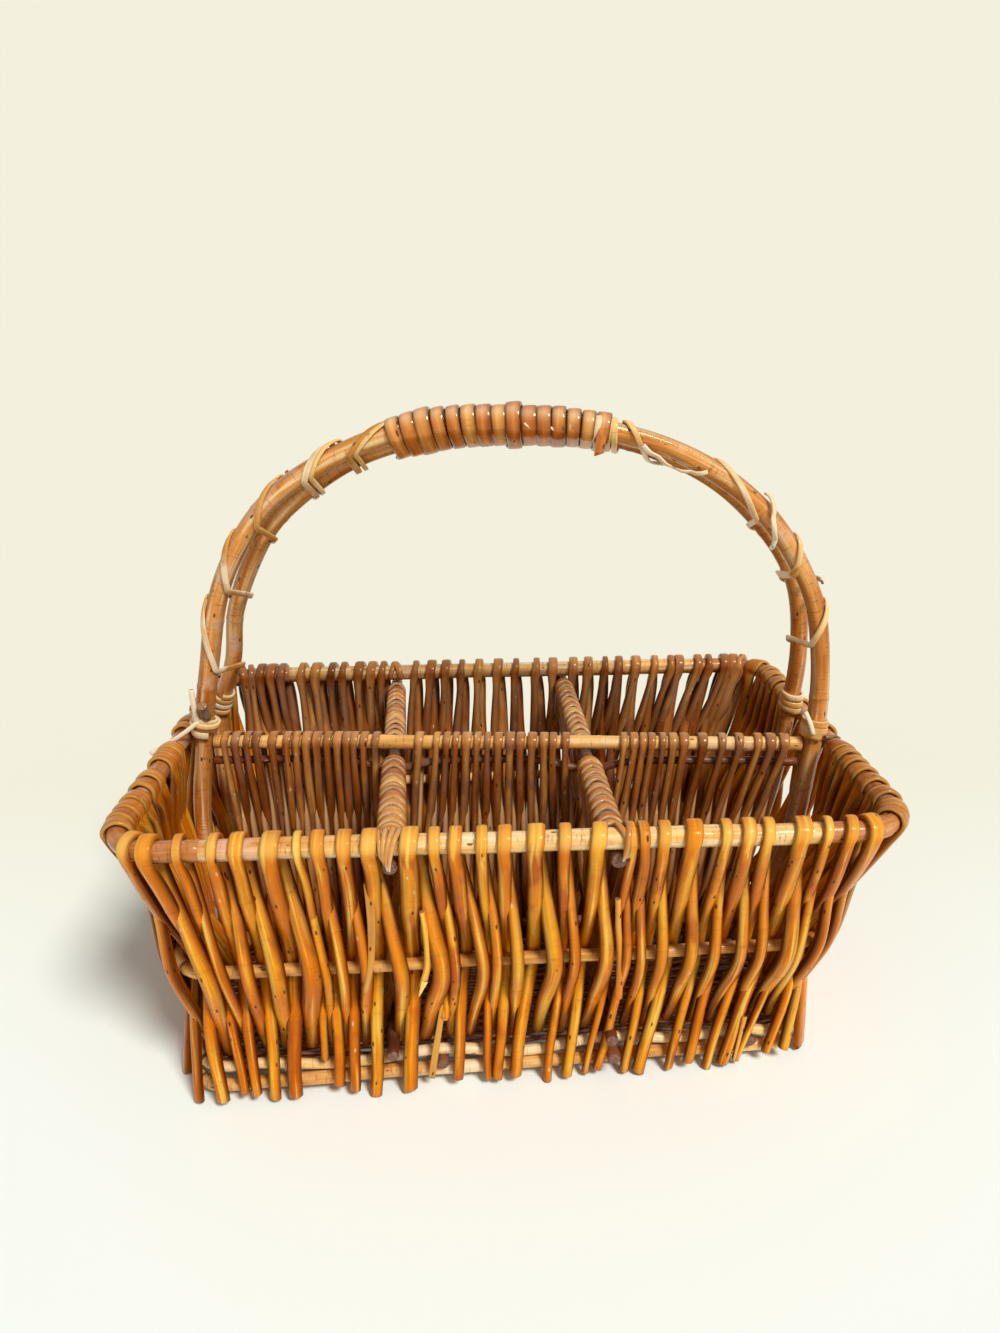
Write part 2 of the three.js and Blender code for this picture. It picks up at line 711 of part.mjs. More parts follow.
// A strip wound round a core: the core gives its middle, direction, side and reach at each turn
function winding(core, turns, wide, thick) {
  const count = Math.round(turns * TURN_STEPS);
  const phase = Math.PI / TURN_STEPS;
  const stations = [];
  for (let i = 0; i <= count; i++) {
    const c = core(i / count);
    const angle = phase + (2 * Math.PI * turns * i) / count;
    const up = c.side.clone().cross(c.along).normalize();
    const out = c.side.clone().multiplyScalar(Math.cos(angle)).addScaledVector(up, Math.sin(angle));
    const at = c.middle
      .clone()
      .addScaledVector(c.side, Math.sign(Math.cos(angle)) * c.halfSpan)
      .addScaledVector(out, c.reach);
    stations.push({ at, out, halfWide: wide / 2, halfDeep: thick / 2 });
  }
  return sweep(stations, 4);
}

// Reach of a winding's middle from the centreline of the rod that it lies on
function reachRound(diameter, thick) {
  return (diameter / 2 + FIT) / Math.cos(Math.PI / TURN_STEPS) + thick / 2 + FIT;
}

// Core made of both handle rods, between two shares of their length
function bothRods(from, to, thick, slack) {
  return (t) => {
    const share = lerp(from, to, t);
    const front = frontHandle.getPointAt(share);
    const back = backHandle.getPointAt(share);
    const middle = front.clone().add(back).multiplyScalar(0.5);
    const side = back.clone().sub(front);
    const halfSpan = side.length() / 2;
    side.normalize();
    const along = frontHandle.getTangentAt(share).add(backHandle.getTangentAt(share));
    along.addScaledVector(side, -along.dot(side)).normalize();
    return { middle, side, along, halfSpan, reach: reachRound(FRONT_ROD, thick) + slack };
  };
}

// Core made of one handle leg, just above the rim
function oneLeg(curve, diameter, side, thick) {
  const points = curve.getSpacedPoints(HANDLE_STEPS);
  if (side === RIGHT) points.reverse();
  const bottom = RIM_HEIGHT + RIM_ROD / 2 + LASH_WIDE / 2;
  return (t) => {
    const z = bottom + t * LASH_PITCH * LASH_TURNS;
    const next = points.findIndex((point) => point.z > z);
    const below = points[next - 1];
    const along = points[next].clone().sub(below);
    const middle = below.clone().addScaledVector(along, (z - below.z) / along.z);
    along.multiplyScalar(side === LEFT ? 1 : -1).normalize();
    const across = new THREE.Vector3(0, 1, 0);
    across.addScaledVector(along, -across.dot(along)).normalize();
    return { middle, side: across, along, halfSpan: 0, reach: reachRound(diameter, thick) };
  };
}

// A lashing round the rim and the end of a cross rail: it leans left, then right, under the rail
function endLashing(divider, side) {
  const level = levelAt(RIM_HEIGHT);
  const x = side === FRONT ? divider.rimFront : divider.rimBack;
  const spot = place(level, side, shareAt(level, side, x, 0), 0, 0);
  const along = new THREE.Vector3().crossVectors(UP, spot.out).normalize();
  const thick = BINDER_THICK;
  const top = RIM_HEIGHT + RIM_ROD / 2 + FIT + thick;
  const bottom = CROSS_Z - CROSS_ROD / 2 - FIT - thick;
  const reachUp = (top - bottom) / 2 / Math.cos(Math.PI / END_STEPS);
  const reachOut = RIM_ROD / 2 + FIT + thick + TIE_SPARE;
  const sway = CROSS_ROD / 2 + 3.5 * FIT;
  const count = TIE_TURNS * END_STEPS;
  const stations = [];
  for (let i = 0; i <= count; i++) {
    const angle = (2 * Math.PI * TIE_TURNS * i) / count;
    const way = angle < 2 * Math.PI ? -1 : 1;
    const lean = way * sway * ((1 - Math.cos(angle)) / 2) ** TIE_LEAN;
    const drift = (TIE_WIDE + TIE_GAP) * (angle / (2 * Math.PI) - 1);
    const at = spot.at
      .clone()
      .addScaledVector(spot.out, Math.cos(angle) * reachOut)
      .addScaledVector(along, lean + drift);
    at.z = (top + bottom) / 2 + Math.sin(angle) * reachUp;
    const out = spot.out.clone().multiplyScalar(Math.cos(angle) / reachOut);
    out.addScaledVector(UP, Math.sin(angle) / reachUp).normalize();
    stations.push({ at, out, halfWide: TIE_WIDE / 2, halfDeep: thick / 2 });
  }
  return sweep(stations, 4);
}

// Least gap of a winding to itself, measured on points of its skin half a turn and more apart
function leastGap(geometry, steps) {
  const p = geometry.attributes.position;
  const ring = 4;
  const apart = ring * Math.round(steps * 0.6);
  const a = new THREE.Vector3();
  const b = new THREE.Vector3();
  const step = new THREE.Vector3();
  let least = Infinity;
  for (let i = 0; i < p.count; i++) {
    a.fromBufferAttribute(p, i);
    for (let j = i + apart; j + ring < p.count; j++) {
      b.fromBufferAttribute(p, j);
      step.fromBufferAttribute(p, j + ring).sub(b);
      for (let part = 0; part < 4; part++) {
        const probe = b.clone().addScaledVector(step, part / 4);
        least = Math.min(least, a.distanceTo(probe));
      }
    }
  }
  return least;
}

// Line of the long divider at a height: between the front rod's two legs
function longLine(z, clearance) {
  const left = legPoint(FRONT_LEGS, LEFT, FRONT_ROD, z);
  const right = legPoint(FRONT_LEGS, RIGHT, FRONT_ROD, z);
  const reach = FRONT_ROD / 2 + clearance;
  const direction = right.clone().sub(left).normalize();
  left.addScaledVector(direction, reach);
  right.addScaledVector(direction, -reach);
  return { left, right, direction };
}

// Where a cross divider passes the long one
function crossing(divider, z) {
  const { left, direction } = longLine(z, 0);
  const [front, back] = crossEnds(divider, z, 0, 0);
  const across = back.sub(front);
  const toFront = front.sub(left);
  const turn = direction.x * across.y - direction.y * across.x;
  const reach = (toFront.x * across.y - toFront.y * across.x) / turn;
  return left.addScaledVector(direction, reach);
}

function crossEnds(divider, z, frontOut, backOut) {
  const level = levelAt(z);
  const on = (side, x) => place(level, side, shareAt(level, side, x, 0), 0, z).at;
  const front = on(FRONT, dividerFront(divider, z));
  const back = on(BACK, dividerBack(divider, z));
  const direction = back.clone().sub(front).normalize();
  return [front.addScaledVector(direction, -frontOut), back.addScaledVector(direction, backOut)];
}

// One stake folded over a divider's top rail, a leg on each side of the bottom rail
function dividerStake(top, foot, normal, topRod, bottomRod, halfTop, halfFoot, thick) {
  const reachTop = topRod / 2 + FIT + thick / 2;
  const reachFoot = bottomRod / 2 + FIT + thick / 2;
  const station = (from, out, up, halfWide) => ({
    at: from.clone().addScaledVector(normal, out).addScaledVector(UP, up),
    out: normal.clone().multiplyScalar(Math.sign(out)).addScaledVector(UP, up ? 1 : 0),
    halfWide,
    halfDeep: thick / 2,
    level: !up,
  });
  return sweep(
    [
      station(foot, -reachFoot, 0, halfFoot),
      station(top, -reachTop, reachTop, halfTop),
      station(top, reachTop, reachTop, halfTop),
      station(foot, reachFoot, 0, halfFoot * REAR_FOOT),
    ],
    4,
  );
}

// Bay of a divider: stakes stand side by side from start to end, pressed together at the feet
function dividerBay(top, foot, count, crest, topRod, bottomRod) {
  const direction = top.end.clone().sub(top.start);
  const pitch = direction.length() / count;
  const footPitch = foot.end.distanceTo(foot.start) / count;
  const normal = new THREE.Vector3().crossVectors(UP, direction).normalize();
  const stakes = [];
  for (let k = 0; k < count; k++) {
    const share = (k + 0.5) / count;
    const thick = STAKE_SPLIT * (1 + THICK_STEP * (k % 3));
    stakes.push(
      dividerStake(
        top.start.clone().lerp(top.end, share),
        foot.start.clone().lerp(foot.end, share),
        normal,
        topRod,
        bottomRod,
        (pitch * crest) / 2,
        footPitch * FOOT_FILL,
        thick,
      ),
    );
  }
  return pressed(stakes);
}

// Margins of the divider bays, along the divider
const LEG_SIDE = 3;
const CROSSING_MARGIN = CROSS_ROD / 2 + 1;
const CROSS_CLEAR = LONG_ROD / 2 + FIT + STAKE_SPLIT + 2;
const WALL_SPARE_TOP = 9.9;
const WALL_SPARE_FOOT = 11.9;
const LEAST_WAIST = 4;
const LONG_COUNTS = [15, 14, 13];
const CROSS_COUNTS = { front: 11, rear: 12 };

function longBay(index) {
  const ends = (z) => {
    const line = longLine(z, LEG_SIDE);
    const marks = [LEFT_DIVIDER, RIGHT_DIVIDER].map((divider) => crossing(divider, z));
    const step = line.direction.clone().multiplyScalar(CROSSING_MARGIN);
    const starts = [line.left, marks[0].clone().add(step), marks[1].clone().add(step)];
    const stops = [marks[0].clone().sub(step), marks[1].clone().sub(step), line.right];
    return { start: starts[index], end: stops[index] };
  };
  const foot = ends(INNER_FOOT_Z);
  return dividerBay(ends(RIM_HEIGHT), foot, LONG_COUNTS[index], LONG_CREST, LONG_ROD, TIE_ROD);
}

// How far the middle rail comes in past a straight line from the rim to the base
const midShare = (MID_HEIGHT - LOWER_Z) / (RIM_HEIGHT - LOWER_Z);
const WAIST = Math.max(LEAST_WAIST, (lerp(BASE_WIDTH, RIM_WIDTH, midShare) - MID_WIDTH) / 2);

function crossBay(divider, rear) {
  const ends = (z, wallClear) => {
    const [front, back] = crossEnds(divider, z, -wallClear, -wallClear);
    const middle = crossing(divider, z);
    const direction = back.clone().sub(front).normalize();
    const start = rear ? middle.clone().addScaledVector(direction, CROSS_CLEAR) : front;
    const end = rear ? back : middle.clone().addScaledVector(direction, -CROSS_CLEAR);
    return { start, end };
  };
  const top = ends(RIM_HEIGHT, WAIST + WALL_SPARE_TOP);
  top.start.z = CROSS_Z;
  top.end.z = CROSS_Z;
  const count = rear ? CROSS_COUNTS.rear : CROSS_COUNTS.front;
  const foot = ends(INNER_FOOT_Z, WAIST + WALL_SPARE_FOOT);
  return dividerBay(top, foot, count, CROSS_CREST, CROSS_ROD, TIE_ROD);
}

// Rails of the long divider
function longRail(z, diameter) {
  const { left, right } = longLine(z, FIT * 4);
  return rod([left, right], diameter, 8);
}

function secondRail() {
  const z = RIM_HEIGHT - SECOND_DROP;
  const under = CROSS_Z - (CROSS_ROD + SECOND_ROD) / 2 - FIT;
  const { left, right, direction } = longLine(z, FIT * 2);
  const points = [left];
  [LEFT_DIVIDER, RIGHT_DIVIDER].forEach((divider) => {
    const mark = crossing(divider, z);
    const dip = mark.clone().setZ(under);
    points.push(mark.clone().addScaledVector(direction, -DIP_REACH));
    points.push(dip.clone().addScaledVector(direction, -DIP_FLAT));
    points.push(dip.clone().addScaledVector(direction, DIP_FLAT));
    points.push(mark.clone().addScaledVector(direction, DIP_REACH));
  });
  points.push(right);
  return rod(points, SECOND_ROD, 6);
}

function crossRail(divider) {
  const ends = crossEnds(divider, RIM_HEIGHT, CROSS_OUT, CROSS_OUT);
  ends.forEach((end) => end.setZ(CROSS_Z));
  return rod(ends, CROSS_ROD, 8);
}

function tieRail(divider) {
  return rod(crossEnds(divider, TIE_Z, TIE_OUT, TIE_OUT_BACK), TIE_ROD, 6);
}

// Floor pieces are laid out square to the base and turned with it
function ribRod() {
  const half = floorLevel.width / 2;
  const front = new THREE.Vector3(0, -half - LOWER_ROD / 2 - RIB_OUT, 0);
  const back = new THREE.Vector3(0, half + RIB_BACK, 0);
  return rod([front, back], RIB_ROD, 6);
}

function floorWeave() {
  const inset = UPPER_INSET + UPPER_ROD / 2 + 2 * FIT;
  const upper = levelAt(UPPER_Z);
  const x = Math.min(BASE_LENGTH, upper.length) / 2 - inset;
  const y = Math.min(BASE_WIDTH, upper.width) / 2 - inset;
  const r = BASE_CORNER - inset;
  const shape = new THREE.Shape();
  shape.moveTo(-x + r, -y);
  shape.lineTo(x - r, -y);
  shape.absarc(x - r, -y + r, r, -Math.PI / 2, 0);
  shape.lineTo(x, y - r);
  shape.absarc(x - r, y - r, r, 0, Math.PI / 2);
  shape.lineTo(-x + r, y);
  shape.absarc(-x + r, y - r, r, Math.PI / 2, Math.PI);
  shape.lineTo(-x, -y + r);
  shape.absarc(-x + r, -y + r, r, Math.PI, Math.PI * 1.5);
  const extrusion = { depth: FLOOR_TOP - FLOOR_UNDER, bevelEnabled: false, curveSegments: 3 };
  const sheet = new THREE.ExtrudeGeometry(shape, extrusion);
  sheet.translate(0, 0, FLOOR_UNDER - RIB_Z);
  const solid = RIB_PLACES.reduce((left, x0) => {
    const reach = floorLevel.width;
    const from = new THREE.Vector3(x0, -reach, 0);
    const to = new THREE.Vector3(x0, reach, 0);
    return left.subtract(toSolid(rod([from, to], RIB_ROD + 2 * FIT, 6)));
  }, toSolid(welded(sheet)));
  return toGeometry(solid);
}

// Corners of a geometry merged so that its surface closes
function welded(geometry) {
  const p = geometry.attributes.position;
  const seen = new Map();
  const positions = [];
  const index = [];
  for (let i = 0; i < p.count; i++) {
    const key = [p.getX(i), p.getY(i), p.getZ(i)].map((n) => n.toFixed(4)).join();
    if (!seen.has(key)) {
      seen.set(key, positions.length / 3);
      positions.push(p.getX(i), p.getY(i), p.getZ(i));
    }
    index.push(seen.get(key));
  }
  const joined = new THREE.BufferGeometry();
  joined.setAttribute("position", new THREE.Float32BufferAttribute(positions, 3));
  joined.setIndex(index);
  return joined;
}

// Colours of the varnished willow
const finish = (color, roughness) => new THREE.MeshStandardMaterial({ color, roughness });
const AMBER = finish(0xc8741c, 0.32);
const RIM_PINK = finish(0xc98f5e, 0.3);
const BLOND = finish(0xc99a55, 0.38);
const BROWN = finish(0x9c5a20, 0.4);
const GRIP_RED = finish(0x8f4a1a, 0.25);
const PALE = finish(0xd9b470, 0.4);

const basket = new THREE.Group();

function add(parent, name, geometry, material) {
  const mesh = new THREE.Mesh(geometry, material);
  mesh.name = name;
  parent.add(mesh);
  return mesh;
}

// Hoops
const hoops = new THREE.Group();
basket.add(hoops);
const SIDE_NAMES = ["front", "right", "back", "left"];
SIDE_NAMES.forEach((word, side) => {
  add(hoops, "rim_rod_" + word, rimRod(side), RIM_PINK);
  add(hoops, "middle_rail_" + word, hoopRod(MID_HEIGHT, side, 0, MID_ROD, 6), BLOND);
  add(hoops, "lower_base_rod_" + word, hoopRod(LOWER_Z, side, 0, LOWER_ROD, 6), BLOND);
  add(hoops, "upper_base_rod_" + word, hoopRod(UPPER_Z, side, UPPER_INSET, UPPER_ROD, 6), BLOND);
});

// Floor
const floor = new THREE.Group();
floor.position.set(floorLevel.shift, 0, RIB_Z);
floor.rotation.z = floorLevel.turn;
basket.add(floor);
RIB_PLACES.forEach((x, i) => {
  add(floor, "floor_rib_" + (i + 1), ribRod(), BROWN).position.x = x;
});
add(floor, "floor_weave", floorWeave(), BROWN);

// Walls
const walls = new THREE.Group();
basket.add(walls);
WALL_BAYS.forEach((bay) => add(walls, bay.name, wallBay(bay), AMBER));

// Dividers
const dividers = new THREE.Group();
basket.add(dividers);
add(dividers, "long_divider_rail", longRail(RIM_HEIGHT, LONG_ROD), RIM_PINK);
add(dividers, "long_divider_second_rail", secondRail(), BLOND);
add(dividers, "long_divider_bottom_rail", longRail(LONG_TIE_Z, TIE_ROD), BROWN);
["left", "middle", "right"].forEach((word, i) => {
  add(dividers, "long_divider_stakes_" + word, longBay(i), AMBER);
});
[
  ["left", LEFT_DIVIDER],
  ["right", RIGHT_DIVIDER],
].forEach(([word, divider]) => {
  add(dividers, word + "_divider_rail", crossRail(divider), RIM_PINK);
  add(dividers, word + "_divider_bottom_rail", tieRail(divider), BROWN);
  add(dividers, word + "_divider_stakes_front", crossBay(divider, false), AMBER);
  add(dividers, word + "_divider_stakes_rear", crossBay(divider, true), AMBER);
  add(dividers, word + "_divider_lashing_front", endLashing(divider, FRONT), PALE);
});
add(dividers, "left_divider_lashing_back", endLashing(LEFT_DIVIDER, BACK), PALE);

// Handle
const handle = new THREE.Group();
basket.add(handle);
add(handle, "handle_rod_front", handleRod(frontHandle, FRONT_ROD), AMBER);
add(handle, "handle_rod_back", handleRod(backHandle, BACK_ROD), AMBER);

const gripStart = handleShare(-GRIP_LENGTH / 2);
const gripEnd = handleShare(GRIP_LENGTH / 2);
const caneWide = GRIP_LENGTH / GRIP_TURNS - CANE_GAP;
const gripCore = bothRods(gripStart, gripEnd, CANE_THICK, CANE_SLACK);
const grip = winding(gripCore, GRIP_TURNS, caneWide, CANE_THICK);
add(handle, "handle_grip_wrap", grip, GRIP_RED);

const spare = ((caneWide + BINDER_WIDE) / 2 + BINDER_CLEAR) / frontHandle.getLength();
const leftCore = bothRods(BINDER_END, gripStart - spare, BINDER_THICK, BINDER_SLACK);
const rightCore = bothRods(1 - BINDER_END, gripEnd + spare, BINDER_THICK, BINDER_SLACK);
const leftBinder = winding(leftCore, BINDER_TURNS, BINDER_WIDE, BINDER_THICK);
const rightBinder = winding(rightCore, BINDER_TURNS, BINDER_WIDE, BINDER_THICK);
add(handle, "handle_binder_left", leftBinder, PALE);
add(handle, "handle_binder_right", rightBinder, PALE);

[
  ["left_front", frontHandle, FRONT_ROD, LEFT],
  ["right_front", frontHandle, FRONT_ROD, RIGHT],
  ["left_back", backHandle, BACK_ROD, LEFT],
  ["right_back", backHandle, BACK_ROD, RIGHT],
].forEach(([word, curve, diameter, side]) => {
  const core = oneLeg(curve, diameter, side, BINDER_THICK);
  const lashing = winding(core, LASH_TURNS, LASH_WIDE, BINDER_THICK);
  add(handle, "handle_lashing_" + word, lashing, PALE);
});

// Least gaps of the windings to themselves
[...handle.children, ...dividers.children]
  .filter((mesh) => /wrap|binder|lashing/.test(mesh.name))
  .forEach((mesh) => {
    const steps = dividers.children.includes(mesh) ? END_STEPS : TURN_STEPS;
    const gap = leastGap(mesh.geometry, steps).toFixed(2);
    console.log(mesh.name + " least gap to itself " + gap + " mm");
  });

export default basket;
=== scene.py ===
import math

import bpy
import numpy as np
from mathutils import Matrix


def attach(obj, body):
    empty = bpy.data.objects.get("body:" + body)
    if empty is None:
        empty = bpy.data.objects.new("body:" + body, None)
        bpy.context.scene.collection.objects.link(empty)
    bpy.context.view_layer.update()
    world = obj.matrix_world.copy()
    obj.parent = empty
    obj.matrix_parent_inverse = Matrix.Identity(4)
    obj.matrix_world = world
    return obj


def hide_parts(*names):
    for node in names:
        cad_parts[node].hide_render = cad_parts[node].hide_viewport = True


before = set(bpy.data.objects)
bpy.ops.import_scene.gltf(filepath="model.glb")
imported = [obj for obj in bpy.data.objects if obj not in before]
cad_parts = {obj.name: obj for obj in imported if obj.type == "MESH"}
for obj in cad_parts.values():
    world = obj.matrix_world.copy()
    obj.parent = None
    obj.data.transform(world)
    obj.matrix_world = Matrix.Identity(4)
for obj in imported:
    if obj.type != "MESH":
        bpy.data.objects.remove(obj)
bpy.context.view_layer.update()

# Lengths are millimetres up to the meshes, which are metres: +X along the basket, +Y back, +Z up
MM = 0.001
rng = np.random.default_rng(7)

# Hoops: length and width between rod centrelines and corner radius, then heights and rods
RIM_SIZE = np.array([390, 241, 26])
MID_SIZE = np.array([349, 212, 22])
BASE_CORNER = 18
BASE_SIZE = np.array([340, 200.6, BASE_CORNER])
RIM_HEIGHT, MID_HEIGHT, UPPER_Z, RIB_Z, LOWER_Z = 161.4, 82.4, 21.8, 15.15, 8.0
RIM_ROD, MID_ROD, UPPER_ROD, LOWER_ROD = 10.8, 6.7, 6, 7
RIM_LAP, UPPER_INSET, SIDE_BOW = 20, 2.2, 16
BASE_SHIFT, BASE_TURN = -10, math.radians(3)
INNER_FOOT_Z = 20.6
FIT = 0.35

# Floor ribs and where their front ends stop outside the lower rod
RIB_ROD = 6.6
RIB_PLACES = [-142, -34, 60, 139]
RIB_OUT = [1.5, 1.5, 7, 1.5]

# Dividers: rods, ends, and where each meets the front and back walls, at the rim and the base
CROSS_ROD, CROSS_OUT, TIE_ROD, TIE_OUT, TIE_OUT_BACK = 8, 4, 6.6, 10, 6
LEFT_DIVIDER = {"front": (-59.4, -65.8), "back": (-72, -74)}
RIGHT_DIVIDER = {"front": (51.3, 54.6), "back": (49.5, 50)}
LONG_ROD, SECOND_ROD, SECOND_DROP = 8.6, 5, 12
TIE_Z, LONG_TIE_Z = 28.45, 35.4
CROSS_Z = RIM_HEIGHT - RIM_ROD / 2 - FIT - CROSS_ROD / 2

# Handle: rods, height over the rim, where the legs stand, and the outline of the arch
FRONT_ROD, BACK_ROD = 11, 10
HANDLE_RISE, LEFT_STANDOFF, RIGHT_STANDOFF = 186.5, 4, 1
FRONT_LEGS = {"left": (6, -4), "right": (-19, -12)}
BACK_LEGS = {"left": (44, 40), "right": (23, 32)}
ARCH = [
    (-0.95, 0.262), (-0.906, 0.444), (-0.824, 0.622), (-0.708, 0.773), (-0.493, 0.912),
    (-0.229, 0.99), (0.047, 1), (0.306, 0.974), (0.587, 0.877), (0.818, 0.705),
    (0.956, 0.502), (1.006, 0.287),
]
ARCH_SPREAD = 1.4
BACK_DROP = (9, 2)
TOP_GAP = (FRONT_ROD + BACK_ROD) / 2 + 2 * FIT

FRONT, RIGHT, BACK, LEFT = 0, 1, 2, 3
SIDE_WORDS = ["front", "right", "back", "left"]
UP, BACKWARD = np.array([0, 0, 1.0]), np.array([0, 1.0, 0])


def lerp(a, b, t):
    return a + (b - a) * t


def between(a, b, count):
    return [lerp(a, b, t) for t in np.linspace(0, 1, count)]


def unit(v):
    v = np.asarray(v, float)
    return v / np.maximum(np.linalg.norm(v, axis=-1, keepdims=True), 1e-12)


def at_angle(degrees):
    return math.cos(math.radians(degrees)), math.sin(math.radians(degrees))


def with_z(p, z):
    return np.array([p[0], p[1], z], float)


# Outline of the basket at a height: length, width, corner, shift, turn, bow of the short sides
def level_at(z):
    if z > MID_HEIGHT:
        t = (z - MID_HEIGHT) / (RIM_HEIGHT - MID_HEIGHT)
        size = lerp(MID_SIZE, RIM_SIZE, t)
        bow = SIDE_BOW * (1 - t)
    else:
        size = lerp(BASE_SIZE, MID_SIZE, (z - LOWER_Z) / (MID_HEIGHT - LOWER_Z))
        bow = SIDE_BOW * max((z - UPPER_Z) / (MID_HEIGHT - UPPER_Z), 0)
    lean = (RIM_HEIGHT - z) / (RIM_HEIGHT - LOWER_Z)
    return (*size, BASE_SHIFT * lean, BASE_TURN * lean, bow)


def run_of(z, side):
    length, width, corner = level_at(z)[:3]
    along, across = (width, length) if side % 2 else (length, width)
    arc = math.pi / 4 * corner
    return along, across, corner, arc, along - 2 * corner + 2 * arc


# Point and outward direction on a side, by share of its run, moved outwards
def place(z, side, share, offset=0.0, at_z=None):
    along, across, corner, arc, total = run_of(z, side)
    shift, turn, bow = level_at(z)[3:]
    walk = share * total
    bent = 0.0
    if walk < arc:
        bent = (walk - arc) / corner
    if walk > total - arc:
        bent = (walk - total + arc) / corner
    straight = min(max(walk, arc), total - arc) - arc
    part = math.pi * straight / (total - 2 * arc)
    bow = bow if side % 2 else 0.0
    slope = bow * math.pi / (total - 2 * arc) * math.sin(2 * part)
    u = straight - along / 2 + corner + math.sin(bent) * (corner + offset)
    v = across / 2 - corner + math.cos(bent) * (corner + offset) + bow * math.sin(part) ** 2
    facing = side * math.pi / 2 + turn
    c, s = math.cos(facing), math.sin(facing)
    at = np.array([c * u + s * v + shift, s * u - c * v, z if at_z is None else at_z])
    faced = bent - math.atan(slope) + facing
    return at, np.array([math.sin(faced), -math.cos(faced), 0.0])


def share_at(z, side, coordinate, margin=0.0):
    along, across, corner, arc, total = run_of(z, side)
    shift, turn = level_at(z)[3:5]
    sign = 1 if side in (FRONT, RIGHT) else -1
    shifted = coordinate if side % 2 else coordinate - shift
    u = (sign * shifted - across / 2 * math.sin(turn)) / math.cos(turn)
    return (u + margin + along / 2 - corner + arc) / total


# Where a divider or a handle leg, leaning from rim to base, meets a wall: coordinate and point
def lean_at(line, side, z):
    rim, base = line[SIDE_WORDS[side]]
    return lerp(base, rim, (z - LOWER_Z) / (RIM_HEIGHT - LOWER_Z))


def met_at(line, side, z):
    return place(z, side, share_at(z, side, lean_at(line, side, z)))[0]


def walked(line):
    return np.concatenate([[0], np.cumsum(np.linalg.norm(np.diff(line, axis=0), axis=1))])


# Smooth curve through control rows: columns 0 to 2 are the point, the rest go along with it
def spline(rows, step):
    rows = np.asarray(rows, float)
    gaps = np.maximum(np.linalg.norm(np.diff(rows[:, :3], axis=0), axis=1), 1e-6)
    p = np.vstack([2 * rows[0] - rows[1], rows, 2 * rows[-1] - rows[-2]])
    knots = np.concatenate([[0], np.cumsum(np.sqrt(np.concatenate([gaps[:1], gaps, gaps[-1:]])))])
    out = []

    def blend(a, b, low, high):
        return (high - t) / (high - low) * a + (t - low) / (high - low) * b

    for i in range(len(rows) - 1):
        near, at = p[i:i + 4], knots[i:i + 4]
        t = np.linspace(at[1], at[2], max(2, int(math.ceil(gaps[i] / step))), endpoint=False)[:, None]
        first = [blend(near[k], near[k + 1], at[k], at[k + 1]) for k in range(3)]
        second = [blend(first[k], first[k + 1], at[k], at[k + 2]) for k in range(2)]
        out.append(blend(*second, at[1], at[2]))
    out.append(rows[-1:])
    return np.vstack(out)


# A handle leg leans on the middle rail, stands off the rim and ends on the floor
def leg_point(legs, side, diameter, z):
    def wall_x(at):
        return met_at(legs, side, at)[0]

    inward = 1 if side == LEFT else -1
    standoff = LEFT_STANDOFF if side == LEFT else RIGHT_STANDOFF
    rise = RIM_HEIGHT - MID_HEIGHT
    rim_x = wall_x(RIM_HEIGHT) + inward * (RIM_ROD / 2 + standoff + diameter / 2)
    lean = math.hypot(wall_x(MID_HEIGHT) - wall_x(RIM_HEIGHT), rise) / rise
    mid_x = wall_x(MID_HEIGHT) + inward * (MID_ROD / 2 + FIT + diameter / 2) * lean
    x = lerp(mid_x, rim_x, (z - MID_HEIGHT) / rise)
    base_x = wall_x(INNER_FOOT_Z) + inward * (UPPER_INSET + UPPER_ROD / 2 + 2 * FIT + diameter / 2)
    out_x = lerp(mid_x, base_x, (MID_HEIGHT - z) / (MID_HEIGHT - INNER_FOOT_Z))
    held = z < MID_HEIGHT and (out_x - x) * inward > 0
    return np.array([out_x if held else x, lean_at(legs, side, z), z])


def handle_curve(legs, diameter, is_back):
    left = leg_point(legs, LEFT, diameter, RIM_HEIGHT)
    right = leg_point(legs, RIGHT, diameter, RIM_HEIGHT)
    middle, half = (left[0] + right[0]) / 2, (right[0] - left[0]) / 2
    points = [leg_point(legs, LEFT, diameter, z) for z in (INNER_FOOT_Z, MID_HEIGHT)] + [left]
    for across, rise in ARCH:
        drop = lerp(*BACK_DROP, (across + 1) / 2) if is_back else 0
        top_y = math.sqrt(TOP_GAP ** 2 - drop ** 2) - TOP_GAP / 2 if is_back else -TOP_GAP / 2
        y = lerp(top_y, left[1] if across < 0 else right[1], (1 - rise) ** ARCH_SPREAD)
        z = RIM_HEIGHT + (HANDLE_RISE - drop) * rise
        points.append(np.array([middle + (half - drop) * across, y, z]))
    points += [right] + [leg_point(legs, RIGHT, diameter, z) for z in (MID_HEIGHT, INNER_FOOT_Z)]
    return spline(points, 2.5)


front_line = handle_curve(FRONT_LEGS, FRONT_ROD, False)
back_line = handle_curve(BACK_LEGS, BACK_ROD, True)
FRONT_WALK = walked(front_line)[-1]


def on_line(line, share):
    steps = walked(line)
    return np.array([np.interp(share * steps[-1], steps, line[:, k]) for k in range(3)])


def along_line(line, share):
    return unit(on_line(line, min(share + 0.004, 1)) - on_line(line, max(share - 0.004, 0)))


# Both handle rods at a share of their length: middle, way from front to back rod, along, half span
def rods_at(share):
    front, back = on_line(front_line, share), on_line(back_line, share)
    across = unit(back - front)
    along = along_line(front_line, share) + along_line(back_line, share)
    along = unit(along - across * (along @ across))
    return (front + back) / 2, across, along, np.linalg.norm(back - front) / 2


